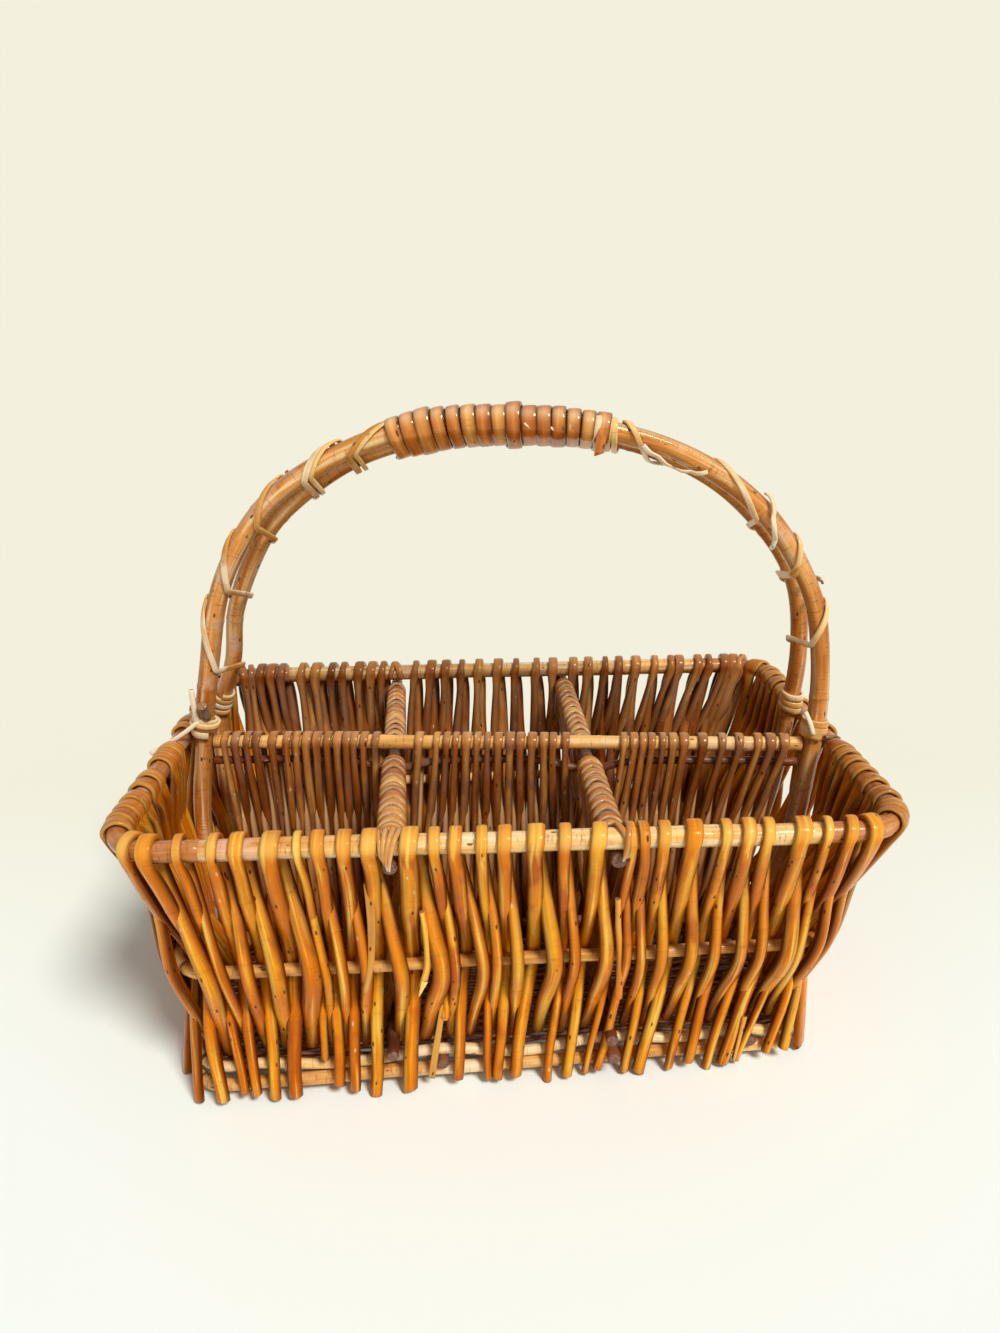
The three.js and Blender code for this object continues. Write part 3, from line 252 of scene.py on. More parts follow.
# Lines of the dividers, and where a cross divider passes the long one
def cross_ends(divider, z, front_out=0.0, back_out=0.0):
    front, back = met_at(divider, FRONT, z), met_at(divider, BACK, z)
    way = unit(back - front)
    return front - way * front_out, back + way * back_out


def long_line(z, clearance):
    left = leg_point(FRONT_LEGS, LEFT, FRONT_ROD, z)
    right = leg_point(FRONT_LEGS, RIGHT, FRONT_ROD, z)
    reach = FRONT_ROD / 2 + clearance
    way = unit(right - left)
    return left + way * reach, right - way * reach, way


def crossing(divider, z):
    left, _, way = long_line(z, 0)
    front, back = cross_ends(divider, z)
    across = back - front
    turn = way[0] * across[1] - way[1] * across[0]
    to_front = front - left
    return left + way * ((to_front[0] * across[1] - to_front[1] * across[0]) / turn)


# Control row of a strand: place, outward side, full width and depth, flatness, pale, dark.
# Pale also carries painted highlights, and dark also carries painted shade
def knot(at, out, wide, deep, flat=0.0, pale=0.0, dark=0.0):
    return [*at, *out, wide, deep, flat, pale, dark]


def noise():
    return rng.uniform(-1, 1)


# Turn between two rings of a strand, rings round a bud, and a bud's swelling and dark ring
BEND_STEP = 0.32
BUD_STOPS = np.array([-2.4, -1.2, -0.5, 0.0, 0.5, 1.2, 2.4])
BUD_SWELL, BUD_REACH, BUD_DARK, BUD_RING = 0.045, 1.3, 0.16, 0.7
# Lengths of the waves by which a strand sways and swells, and how calm its ends are
SWAY_WAVES, SWELL_WAVES, CALM_END = (11, 23), (9, 31), 15
# How square the flat part of a strand is, and the rounding of its cut ends
SQUARENESS, CUT_SIZE, CUT_RISE, CUT_CORE = 2.2, 0.84, 0.12, 0.1


def bud_places(spacing, reach):
    places = []
    if spacing:
        at = spacing * rng.uniform(0.2, 1)
        while at < reach - 12:
            places.append(at)
            at += spacing * rng.uniform(0.5, 1.6)
    return places


# Rows of a strand at an even step, closer where it bends and round its buds
def sampled(rows, step, buds):
    fine = spline(rows, 0.9)
    walk = walked(fine[:, :3])
    heading = unit(np.gradient(fine[:, :3], axis=0))
    bend = np.arccos(np.clip((heading[1:] * heading[:-1]).sum(1), -1, 1))
    effort = np.concatenate([[0], np.cumsum(np.diff(walk) / step + bend / BEND_STEP)])
    stops = np.interp(np.linspace(0, effort[-1], int(effort[-1]) + 2), effort, walk)
    for bud in buds:
        stops = np.concatenate([stops[np.abs(stops - bud) > 3], bud + BUD_STOPS])
    stops = np.sort(stops.clip(0, walk[-1]))
    return np.stack([np.interp(stops, walk, fine[:, k]) for k in range(fine.shape[1])], 1), stops


def waves(length, periods, phase):
    return np.sin(length / periods[0] + phase[0]) * 0.5 + np.sin(length / periods[1] + phase[1])


def axes_along(at, out):
    tangent = unit(np.gradient(at, axis=0))
    return tangent, unit(np.cross(tangent, out))


class Bundle:
    """Strands of one node, gathered into one mesh with what the materials read."""

    def __init__(self):
        self.points, self.faces = [], []
        self.layers = {"grain": [], "tone": [], "mark": []}
        self.count = 0

    # One strand along control rows. Flank is how far its sides darken with painted shade, buds their
    # spacing, edge the pale edge of its flat part, seam the painted shadow along its other edge, and
    # slant how far its ends are cut askew
    def strand(self, rows, step=4.0, sides=10, sway=0.0, uneven=0.04, slant=0.0, edge=0.0,
               flank=0.0, buds=0.0, bark=0.0, seam_shadow=0.0, tone=None):
        buds = bud_places(buds, walked(np.asarray(rows)[:, :3])[-1])
        rows, length = sampled(rows, step, buds)
        at, out = rows[:, :3].copy(), rows[:, 3:6]
        wide, deep = rows[:, 6] / 2, rows[:, 7] / 2
        flat, pale, dark = rows[:, 8:].clip(0, 1).T
        tangent, across = axes_along(at, out)
        phase = rng.uniform(0, 2 * math.pi, 6)
        if sway:
            ends = np.minimum(1, length / CALM_END) * np.minimum(1, (length[-1] - length) / CALM_END)
            at += across * (sway * (1 - flat) ** 2 * ends * waves(length, SWAY_WAVES, phase))[:, None]
            tangent, across = axes_along(at, out)
        normal = unit(np.cross(across, tangent))
        swell = 1 + uneven * waves(length, SWELL_WAVES, phase[2:])
        for bud in buds:
            swell = swell + BUD_SWELL * np.exp(-((length - bud) / BUD_REACH) ** 2) * (1 - flat)
            ring = np.exp(-((length - bud - 0.5) / BUD_RING) ** 2) * (1 - flat)
            dark = np.maximum(dark, BUD_DARK * ring)
        theta = 2 * math.pi * (np.arange(sides) + 0.5) / sides
        c, s = np.cos(theta), np.sin(theta)
        power = 2 / (2 + SQUARENESS * flat)[:, None]
        lump = uneven * (0.6 * np.cos(2 * theta + phase[4]) + 0.5 * np.cos(3 * theta + phase[5]))
        lump = 1 + lump[None, :] * (1 - flat)[:, None]
        x = np.sign(c) * np.abs(c) ** power * (wide * swell)[:, None] * lump
        y = np.sign(s) * np.abs(s) ** power * (deep * swell)[:, None] * lump
        ring = at[:, None, :] + across[:, None, :] * x[..., None] + normal[:, None, :] * y[..., None]
        for end, way in ((0, -1), (-1, 1)):
            ring[end] += tangent[end] * (x[end] * slant * way)[:, None]
        own = rng.uniform(0, 1) if tone is None else tone
        shift = rng.uniform(0, 1, 3) * np.array([1, 1, 3])

        def spread(values):
            return np.repeat(values[:, None], sides, 1)

        grain = np.stack([x, y, spread(length)], -1) * MM + shift
        cut_edge = spread(abs(edge) * flat) * np.maximum(0, c * np.sign(edge)) ** 6
        paleness = np.maximum(spread(pale), cut_edge)
        tones = np.stack([np.full(x.shape, own), paleness, spread(bark * flat)], -1)
        # Painted shade: the sides of the strand darken towards its edges
        painted_shade = flank * spread(1 - 0.6 * flat) * np.abs(c) ** 1.7
        # Painted shadow along the back edge of a flat strip, where the next one lies over it
        painted_shade = np.maximum(painted_shade, spread(seam_shadow * flat) * np.maximum(0, -c * np.sign(edge)) ** 2)
        marks = np.stack([np.zeros(x.shape), spread(dark), painted_shade], -1)
        self.skin(ring, (grain, tones, marks), tangent, np.minimum(wide, deep))

    # Walls between the rings of a strand, and its two cut ends
    def skin(self, ring, layers, tangent, size):
        n, sides = ring.shape[:2]
        around = np.arange(sides)
        beside = (around + 1) % sides
        rings = np.arange(n - 1)[:, None] * sides
        quads = np.stack([rings + around, rings + sides + around, rings + sides + beside, rings + beside], -1)
        faces = quads.reshape(-1, 4).tolist()
        parts = [[part.reshape(-1, 3)] for part in (ring, *layers)]
        base = n * sides
        for end, way in ((0, -1), (n - 1, 1)):
            middle = ring[end].mean(0)
            inner = middle + (ring[end] - middle) * CUT_SIZE + tangent[end] * way * size[end] * CUT_RISE
            grain, tones, marks = [layer[end] for layer in layers]
            for part, values in zip(parts, (inner, grain, tones, marks * [0, 1, 0] + [1, 0, 0])):
                part += [values, values.mean(0)[None]]
            parts[0][-1] = (middle + tangent[end] * way * size[end] * CUT_CORE)[None]
            for k in range(sides):
                m = (k + 1) % sides
                quad = [end * sides + k, end * sides + m, base + m, base + k]
                tri = [base + k, base + m, base + sides]
                faces += [quad, tri] if way < 0 else [quad[::-1], tri[::-1]]
            base += sides + 1
        self.points.append(np.vstack(parts[0]))
        for key, part in zip(self.layers, parts[1:]):
            self.layers[key].append(np.vstack(part))
        self.faces.extend([[k + self.count for k in f] for f in faces])
        self.count += base

    def rod(self, points, diameter, out=UP, step=5.0, sides=14, dark=0.0, **more):
        self.strand([knot(p, out, diameter, diameter, dark=dark) for p in points], step, sides, **more)

    # The piece rides on the one body and stands in for its node; nothing reaches under the floor
    def finish(self, name, material, slot, node):
        mesh = bpy.data.meshes.new(name)
        points = np.vstack(self.points) * MM
        points[:, 2] = np.maximum(points[:, 2], 0)
        mesh.from_pydata(points.tolist(), [], self.faces)
        for key, rows in self.layers.items():
            layer = mesh.attributes.new(key, "FLOAT_VECTOR", "POINT")
            layer.data.foreach_set("vector", np.vstack(rows).astype(np.float32).ravel())
        mesh.polygons.foreach_set("use_smooth", [True] * len(mesh.polygons))
        mesh.materials.append(material)
        mesh.update()
        piece = bpy.data.objects.new(name, mesh)
        bpy.context.scene.collection.objects.link(piece)
        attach(piece, "root")
        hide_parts(node)


def rod_piece(name, material, slot, node, points, diameter, **more):
    b = Bundle()
    b.rod(points, diameter, **more)
    b.finish(name, material, slot, node)


# Colours are written as they look, from 0 to 255
def colour(r, g, b):
    def linear(v):
        v /= 255
        return v / 12.92 if v <= 0.04045 else ((v + 0.055) / 1.055) ** 2.4
    return (linear(r), linear(g), linear(b), 1.0)


class Nodes:
    """Short ways to add and join shader nodes."""

    def __init__(self, owner):
        owner.use_nodes = True
        self.tree = owner.node_tree
        self.tree.nodes.clear()

    # A node with its inputs, each a number, a colour or another node's output
    def new(self, kind, inputs=(), **settings):
        node = self.tree.nodes.new("ShaderNode" + kind)
        for key, value in settings.items():
            setattr(node, key, value)
        for key, value in dict(inputs).items():
            if isinstance(value, bpy.types.NodeSocket):
                self.tree.links.new(value, node.inputs[key])
            else:
                node.inputs[key].default_value = value
        return node

    def out(self, kind, inputs=(), **settings):
        return self.new(kind, inputs, **settings).outputs[0]

    def parts(self, vector):
        return self.new("SeparateXYZ", {0: vector}).outputs

    def attribute(self, name):
        return self.new("Attribute", attribute_name=name).outputs["Vector"]

    def maths(self, operation, a, b=0.0):
        return self.out("Math", {0: a, 1: b}, operation=operation)

    def times(self, a, b):
        return self.maths("MULTIPLY", a, b)

    def plus(self, a, b):
        return self.maths("ADD", a, b)

    def scaled(self, vector, scale):
        return self.out("VectorMath", {0: vector, 1: scale}, operation="MULTIPLY")

    def noise(self, vector, scale, detail=2.0, rough=0.5):
        return self.out("TexNoise", {"Vector": self.scaled(vector, scale), "Scale": 1, "Detail": detail,
                                     "Roughness": rough})

    def cells(self, vector, scale):
        return self.out("TexVoronoi", {"Vector": self.scaled(vector, scale), "Scale": 1})

    def ramp(self, fac, stops):
        node = self.new("ValToRGB", {0: fac})
        while len(node.color_ramp.elements) < len(stops):
            node.color_ramp.elements.new(0.5)
        for element, (place_at, value) in zip(node.color_ramp.elements, stops):
            element.position = place_at
            element.color = value
        return node.outputs[0]

    def span(self, value, low, high, to_low=0.0, to_high=1.0):
        return self.out("MapRange", {0: value, 1: low, 2: high, 3: to_low, 4: to_high},
                        interpolation_type="SMOOTHSTEP")

    def mix(self, fac, a, b):
        return self.new("Mix", {0: fac, 6: a, 7: b}, data_type="RGBA").outputs[2]


# Varnished willow: blotches, fibres along the stick, bark wrinkles across it, pits, chips,
# flanks darkened with painted shade, pale cut edges and cut ends, and where given light streaks as painted
# highlights
# One dark colour for pits, bud rings and dark marks, among them painted shade inside the basket
PIT_AND_SHADE = colour(58, 24, 8)
SPLINTER = colour(250, 232, 198)
BARKED = [(0.36, colour(96, 38, 10)), (0.7, colour(204, 118, 52))]
# How fine each pattern is across the stick and along it, for coordinates in metres
BLOTCH, WIDE_BLOTCH, FIBRE, STREAK = (70, 70, 16), (38, 38, 20), (1500, 1500, 45), (420, 420, 16)
WRINKLE, PITS, CHIPS, CUT_RINGS = (130, 130, 950), (170, 170, 70), (190, 210, 70), (900, 900, 900)
COAT_ROUGH, GRAIN_BUMP, GRAIN_DEPTH = 0.06, 0.6, 0.0005


def willow(name, deep, middle, light, pale, shade, rough=0.16, level=0.34, coat=0.22,
           spread=0.3, patch=None, patches=0.0, wrinkles=0.2, chips=0.5, glint=(255, 196, 110),
           cut=(176, 140, 100), highlight_streaks=None):
    material = bpy.data.materials.new(name)
    n = Nodes(material)
    grain = n.attribute("grain")
    own, paleness, barked = n.parts(n.attribute("tone"))
    ends, darkness, flank = n.parts(n.attribute("mark"))
    blotch = n.noise(grain, BLOTCH, 4, 0.62)
    fibre = n.noise(grain, FIBRE, 3, 0.6)
    streak = n.noise(grain, STREAK)
    wrinkle = n.noise(grain, WRINKLE, 3, 0.6)
    pits = n.span(n.cells(grain, PITS), 0.07, 0.14, 1, 0)
    chip = n.times(n.span(n.cells(grain, CHIPS), 0.07, 0.13, 1, 0), n.span(blotch, 0.5, 0.56))
    value = n.plus(n.times(n.maths("SUBTRACT", own, 0.5), spread),
                   n.plus(n.times(blotch, 0.72), n.times(streak, 0.38)))
    tint = n.ramp(value, [(0.3, colour(*deep)), (0.54, colour(*middle)), (0.78, colour(*light))])
    layers = []
    if patches:
        wide_blotch = n.noise(grain, WIDE_BLOTCH, 3, 0.6)
        layers.append((n.span(wide_blotch, 0.62 - patches * 0.25, 0.74 - patches * 0.25), colour(*patch)))
    # Long light streaks along the stick, painted highlights
    if highlight_streaks:
        layers.append((n.times(n.span(streak, 0.52, 0.7), 0.75), colour(*highlight_streaks)))
    face = n.ramp(n.noise(grain, CUT_RINGS),
                  [(0.3, colour(cut[0] * 0.6, cut[1] * 0.52, cut[2] * 0.45)), (0.7, colour(*cut))])
    layers += [
        (barked, n.ramp(value, BARKED)),
        (n.span(fibre, 0.38, 0.7, 0.0, 0.28), colour(*deep)),
        (n.times(n.span(wrinkle, 0.56, 0.7), wrinkles), colour(*shade)),
        (paleness, colour(*pale)),
        (n.times(chip, chips), SPLINTER),
        # Painted shade on the flanks of each strand
        (flank, colour(*shade)),
        (n.times(pits, 0.85), PIT_AND_SHADE),
        (darkness, PIT_AND_SHADE),
        (ends, face),
    ]
    for share, over in layers:
        tint = n.mix(share, tint, over)
    gloss = n.plus(n.span(blotch, 0.35, 0.7, rough - 0.05, rough + 0.12),
                   n.plus(n.times(ends, 0.4), n.times(fibre, 0.06)))
    relief = n.plus(n.plus(n.times(fibre, 0.3), n.times(blotch, 0.9)), n.times(wrinkle, wrinkles))
    height = n.maths("SUBTRACT", relief, n.plus(n.times(pits, 0.9), n.times(chip, 0.5)))
    n.new("OutputMaterial", {0: n.out("BsdfPrincipled", {
        "Base Color": tint, "Roughness": gloss, "Specular IOR Level": level,
        "Specular Tint": colour(*glint), "Coat Weight": coat, "Coat Roughness": COAT_ROUGH, "IOR": 1.5,
        "Normal": n.out("Bump", {"Strength": GRAIN_BUMP, "Distance": GRAIN_DEPTH, "Height": height}),
    })})
    return material


# Each willow's deep, middle and light brown, its pale colour for cut edges and painted highlights,
# and its shade, the colour of bark wrinkles and of the painted shade on its flanks
AMBER = willow("willow_amber", (182, 84, 2), (236, 130, 4), (255, 186, 38), (255, 214, 112), (88, 28, 2),
               spread=0.18, patch=(196, 92, 8), patches=0.25, level=0.2, coat=0.09, highlight_streaks=(255, 212, 92))
# Inner willow is darker and browner: partly the pieces' own colour, partly painted shade inside the basket
INNER = willow("willow_inner", (100, 42, 8), (172, 96, 34), (224, 156, 78), (232, 186, 130), (54, 18, 3),
               rough=0.22, level=0.3, patch=(160, 100, 62), patches=0.4, glint=(255, 214, 160))
RAIL = willow("willow_rail", (196, 118, 40), (248, 190, 108), (255, 236, 186), (250, 226, 184),
              (104, 44, 10), patch=(240, 186, 140), patches=0.15, wrinkles=0.5)
RIM = willow("willow_rim", (206, 130, 56), (250, 202, 124), (255, 238, 196), (252, 234, 204), (112, 50, 14),
             patch=(226, 178, 146), patches=0.35, wrinkles=0.6, chips=0.7, rough=0.14, coat=0.3,
             highlight_streaks=(254, 240, 206))
BLOND = willow("willow_blond", (206, 132, 58), (248, 202, 130), (255, 238, 198), (252, 238, 208),
               (112, 56, 16), patch=(250, 226, 184), patches=0.35, wrinkles=0.5, chips=0.8)
BROWN = willow("willow_brown", (78, 34, 16), (124, 62, 34), (162, 96, 62), (198, 150, 118), (40, 16, 8),
               rough=0.34, level=0.35, coat=0, patch=(134, 92, 62), patches=0.5, cut=(150, 112, 96),
               glint=(255, 236, 214))
BARK = willow("willow_handle", (172, 88, 22), (234, 156, 74), (252, 216, 148), (250, 222, 176), (94, 38, 8),
              patch=(238, 190, 152), patches=0.35, wrinkles=0.5, rough=0.15, coat=0.3,
              highlight_streaks=(252, 222, 168))
CANE = willow("cane_grip", (146, 54, 8), (220, 118, 34), (252, 182, 88), (254, 228, 180), (74, 22, 4),
              rough=0.13, level=0.5, coat=0.5, patch=(190, 96, 30), patches=0.3)
PALE = willow("willow_pale", (180, 108, 34), (226, 166, 82), (250, 212, 142), (253, 238, 208), (96, 42, 10),
              rough=0.24, patch=(248, 226, 186), patches=0.5)
STRAP = willow("willow_strap", (150, 76, 22), (214, 138, 62), (248, 198, 122), (252, 232, 198), (66, 24, 6),
               patch=(216, 158, 112), patches=0.3, glint=(255, 220, 170))
CROSS = willow("willow_cross", (138, 62, 10), (214, 126, 40), (250, 186, 92), (254, 230, 186), (60, 22, 5),
               patch=(176, 92, 30), patches=0.3, level=0.25, coat=0.12, highlight_streaks=(250, 192, 108))
SIDE_RIM = willow("willow_rim_side", (134, 66, 26), (204, 132, 74), (242, 190, 132), (240, 206, 164),
                  (74, 28, 8), patch=(214, 154, 118), patches=0.4, wrinkles=0.6)


# Hoops. A rim rod butts on its neighbours on the long sides and takes the corners on the short ones
def hoop(z, side, inset, diameter, height=None):
    arc, total = run_of(z, side)[3:]
    end = (FIT + diameter * 0.12) / total
    inner = np.linspace(arc / total, 1 - arc / total, 17)
    shares = [end, arc / 2 / total, *inner, 1 - arc / 2 / total, 1 - end]
    return [place(z, side, s, -inset, height(s * total) if height else None)[0] for s in shares]


# The upper base rod hangs between the ribs: walks of the ribs and how far it dips after each
UPPER_REST = 1.8
RIB_WALKS = [24.5, 132.5, 226.5, 305.5]
UPPER_DIPS = {FRONT: [1.5, 5.2, 4.6, 4.2, 2.5], BACK: [2, 4, 5, 4, 2]}
SHORT_DIP = 5


def upper_height(side):
    total = run_of(UPPER_Z, side)[4]
    if side % 2:
        return lambda walk: UPPER_Z - UPPER_REST - SHORT_DIP * math.sin(math.pi * walk / total) ** 2
    ribs = RIB_WALKS if side == FRONT else [total - w for w in reversed(RIB_WALKS)]
    stops = [0, *ribs, total]

    def height(walk):
        k = max(i for i in range(5) if stops[i] <= walk)
        share = (walk - stops[k]) / (stops[k + 1] - stops[k])
        return UPPER_Z - UPPER_REST - UPPER_DIPS[side][k] * math.sin(math.pi * min(share, 1)) ** 2
    return height


def rim_points(side):
    def on(which, walk, turned=False):
        total = run_of(RIM_HEIGHT, which)[4]
        return place(RIM_HEIGHT, which, 1 - walk / total if turned else walk / total)[0]
    arc, total = run_of(RIM_HEIGHT, side)[3:]
    if side in (FRONT, BACK):
        butt = arc + RIM_LAP + FIT
        return [on(side, lerp(butt, total - butt, t)) for t in np.linspace(0, 1, 9)]
    near, far = (side + 3) % 4, (side + 1) % 4
    stops = [arc + RIM_LAP, arc + 8, arc, arc * 0.66, arc / 3]
    own = [0, arc / 3, arc * 0.66, arc, arc + 12]
    points = [on(near, w, True) for w in stops] + [on(side, w) for w in own]
    return points + [on(side, w, True) for w in reversed(own)] + [on(far, w) for w in reversed(stops)]


for side, word in enumerate(SIDE_WORDS):
    rod_piece("rim_" + word, SIDE_RIM if side % 2 else RIM, "rim_willow", "rim_rod_" + word,
              rim_points(side), RIM_ROD, sides=20, step=4, sway=0.3, uneven=0.02, buds=110)
    rod_piece("middle_hoop_" + word, RAIL, "blond_willow", "middle_rail_" + word,
              hoop(MID_HEIGHT, side, 0, MID_ROD), MID_ROD, sway=0.45, buds=90)
    rod_piece("base_hoop_lower_" + word, BLOND, "blond_willow", "lower_base_rod_" + word,
              hoop(LOWER_Z, side, 0, LOWER_ROD), LOWER_ROD, sway=0.5, uneven=0.035, buds=80)
    rod_piece("base_hoop_upper_" + word, BLOND, "blond_willow", "upper_base_rod_" + word,
              hoop(UPPER_Z, side, UPPER_INSET, UPPER_ROD, upper_height(side)), UPPER_ROD,
              sway=0.5, uneven=0.035, buds=80)


# Bends of a fold over the rim, from the outer leg to the inner one, and the painted highlight on each
CREST_BENDS = [-12, 14, 44, 90, 136, 166, 192]
CREST_HIGHLIGHT = [0.2, 0.9, 1, 0.5, 0.2, 0, 0]
# How much broader legs are than they were read, and how deep a broad one may be
OUTER, INSIDE, BROAD, ROUNDNESS = 1.15, 1.16, 6.4, 0.9
# Gaps between a stake and the rods it lies on, at the lower base rod and at the upper one
TOUCH, LOWER_TOUCH, UPPER_TOUCH = 0.1, 0.2, 0.3
# Height, width and paleness of the inner leg above the middle rail; then height and darkness under it
INNER_UPPER = ((150, 0.62, 0.16), (118, 0.86, 0.1), (MID_HEIGHT, 1, 0))
OUTER_LOW, INNER_LOW, INNER_END = 45, 50, 24


# One wall stake: outer leg behind the middle rail, fold over the rim, inner leg in front of it.
# Walks along the wall of the fold, of the outer leg at the middle rail and at its foot, of the
# inner leg under the rim, at the middle rail and at its end; widths of the fold and the legs
# The fold takes a painted highlight on top, and the inner leg painted shade above the middle rail
def wall_stake(b, side, crest, crest_wide, a_mid, a_foot, b_top, b_mid, b_end, a_wide, b_wide,
               foot=2.0, thick=None, tilt=0.0, paler=1.0, fold_highlight=0.0, sag=1.0, shade=0.0, **more):
    a_wide, b_wide = a_wide * OUTER, b_wide * INSIDE
    a_deep, b_deep = min(a_wide * ROUNDNESS, BROAD), min(b_wide * ROUNDNESS, BROAD)
    thick = thick or 2.5 + 0.1 * a_wide

    def on(z, walk, offset, at_z=None):
        return place(z, side, walk / run_of(z, side)[4], offset, at_z)

    rows = []
    lower = LOWER_ROD / 2 + a_deep / 2 + LOWER_TOUCH
    mid = -(MID_ROD / 2 + a_deep / 2 + TOUCH)
    for z, t in ((foot, 1.0), (max(foot + 4, LOWER_Z + 4), 0.93), (OUTER_LOW, 0.5)):
        down = (MID_HEIGHT - z) / MID_HEIGHT
        offset = lerp(mid, lower, (MID_HEIGHT - z) / (MID_HEIGHT - LOWER_Z))
        at, out = on(z, lerp(a_mid, a_foot, down), offset)
        rows.append(knot(at, out, a_wide * lerp(0.95, 0.86, t), a_deep * lerp(0.98, 0.86, t)))
    at, out = on(MID_HEIGHT, a_mid, mid)
    rows.append(knot(at, out, a_wide * 0.96, a_deep * 0.96))
    reach = RIM_ROD / 2 + thick / 2 + TOUCH
    start_out, start_up = [reach * v for v in at_angle(CREST_BENDS[0])]
    for t in (0.5, 0.86):
        z = lerp(MID_HEIGHT, RIM_HEIGHT + start_up, t)
        at, out = on(z, lerp(a_mid, crest, t ** sag), lerp(mid, start_out, t))
        rows.append(knot(at, out, a_wide, lerp(a_deep, thick + 1.6, t * t), 0.05))
    for i, degrees in enumerate(CREST_BENDS):
        c, s = at_angle(degrees)
        at, out = on(RIM_HEIGHT, lerp(crest, b_top, i / 6), c * reach, RIM_HEIGHT + s * reach)
        lean = out * c + UP * s + np.cross(UP, out) * math.tan(math.radians(tilt)) * s
        wide = lerp(crest_wide, b_wide * 0.8, (i - 4) / 2) if i > 4 else crest_wide * (1 if i else 0.94)
        # The top of the fold is painted paler, a painted highlight
        rows.append(knot(at, lean, wide, thick, 0.8 if 0 < i < 6 else 0.55, fold_highlight * CREST_HIGHLIGHT[i]))
    b_out = MID_ROD / 2 + b_deep / 2 + TOUCH
    b_in = -(UPPER_INSET + UPPER_ROD / 2 + b_deep / 2 + UPPER_TOUCH)
    for z, grow, pale in INNER_UPPER:
        t = (RIM_HEIGHT - z) / (RIM_HEIGHT - MID_HEIGHT)
        at, out = on(z, lerp(b_top, b_mid, t ** (1 / sag)), lerp(-reach, b_out, t))
        deep = b_deep * lerp(grow, 1, 0.5)
        # The inner leg above the middle rail is darkened with painted shade, as it stands inside the basket
        rows.append(knot(at, -out, b_wide * grow, deep, 0.1 if z > 140 else 0, pale * paler, shade))
    end_z = rng.uniform(INNER_FOOT_Z + 0.2, 27)
    # Under the middle rail the inner leg darkens towards its end, painted shade low inside the basket
    for z, grow, dark in ((INNER_LOW, 0.95, 0.05), (end_z, 0.8, 0.5)):
        t = (MID_HEIGHT - z) / (MID_HEIGHT - INNER_END)
        at, out = on(z, lerp(b_mid, b_end, t), lerp(b_out, b_in, t))
        rows.append(knot(at, -out, b_wide * grow, b_deep * grow, 0, 0, dark))
    b.strand(rows, sway=0.5, uneven=0.04, slant=rng.uniform(-0.4, 0.4), **more)


# Front wall, read from the photo, with the height of each foot
FRONT_BAYS = {
    "left": [
        (8.5, 6.5, -3.5, 4, 5.5, -0.5, 1, 6.3, 6.3, 2.3),
        (17, 8, 9.5, 14, 16, 16.5, 17, 7.2, 8.2, 4.1),
        (31.5, 4.5, 19, 26, 30.5, 24.5, 28.5, 5, 5.2, 7),
        (47.5, 5, 29.5, 32, 48, 37, 38, 6, 6.3, 6),
        (58.5, 7.5, 42.5, 41.3, 59, 52, 47.5, 6.6, 7.8, 3.2),
        (74, 9, 57, 52, 75.5, 69, 61.5, 8, 8.6, 3.5),
        (87.5, 4, 72.5, 68, 86.5, 75.5, 72.5, 4.2, 4.4, 24),
        (97, 6.5, 79, 75.6, 96, 84.5, 80, 6, 5.5, 8.3),
        (109, 7.5, 89, 84, 109, 96, 91, 6.2, 5.7, 4.4),
        (120.5, 8, 102, 95, 121.5, 114, 109.5, 7, 7, 0.3),
    ],
    "middle": [
        (139, 8.5, 120, 113.5, 141.5, 135.5, 123, 8.4, 8.6, 1.9),
        (151.5, 5.5, 138.5, 131, 152, 142, 137.5, 5, 5.3, 56),
        (161, 6.5, 148, 139.6, 163, 156.5, 148, 6.4, 6.2, 6.6),
        (174, 5.5, 159.5, 156.8, 175, 164, 160, 5, 5.6, 4.7),
        (184.5, 7, 169.5, 161.3, 186.5, 175, 171.5, 6.4, 6.3, 5),
        (199.5, 9, 183.5, 171.2, 202, 193.5, 186.5, 7.4, 7.8, 5.5),
        (213.5, 6, 199.5, 189.6, 215.5, 204.5, 200, 5.2, 5.8, 0),
        (229, 7.5, 211.5, 200, 233.5, 220.5, 212.5, 6.6, 7.2, 3.1),
    ],
    "right": [
        (246.5, 4, 226.5, 210.4, 246, 232, 226.5, 4.2, 4.7, 2.8),
        (252, 5, 236.5, 216.5, 252.5, 239.5, 235, 5.3, 5, 5.4),
        (261, 6, 245.5, 232.6, 264, 250.5, 246, 5.6, 5.8, 2.7),
        (275, 8, 258.5, 240.6, 279, 266, 259, 7.4, 6.6, 1.8),
        (291, 5.5, 273.5, 258, 294, 278.5, 274, 5.5, 5.5, 2.2),
        (301.5, 6.5, 285, 268.5, 305.5, 292, 285, 6.3, 6, 5.8),
        (311, 5.5, 299, 280, 315.5, 303, 299.5, 5.6, 5.7, 0.5),
        (327.5, 8, 311.5, 288.5, 333, 317.5, 309.5, 7.4, 7.4, 2.8),
        (340, 4.5, 325, 296, 344.5, 323, 319, 4.7, 5, 3.6),
        (351, 6, 334, 312.5, 357, 332, 327, 5.8, 5.8, 8.3),
        (362.5, 7.5, 341.5, 321, 366, 340, 334, 7.4, 6.2, 8.7),
    ],
}
# Front stakes: strong painted shade on their flanks
FRONT_LOOK = dict(step=4.5, sides=14, flank=1.0, edge=0.2, buds=85)
front_bundles = {}
for word, rows in FRONT_BAYS.items():
    b = front_bundles[word] = Bundle()
    for row in rows:
        # Each fold gets a painted highlight of random strength
        wall_stake(b, FRONT, *row, fold_highlight=rng.uniform(0.1, 0.6), **FRONT_LOOK)


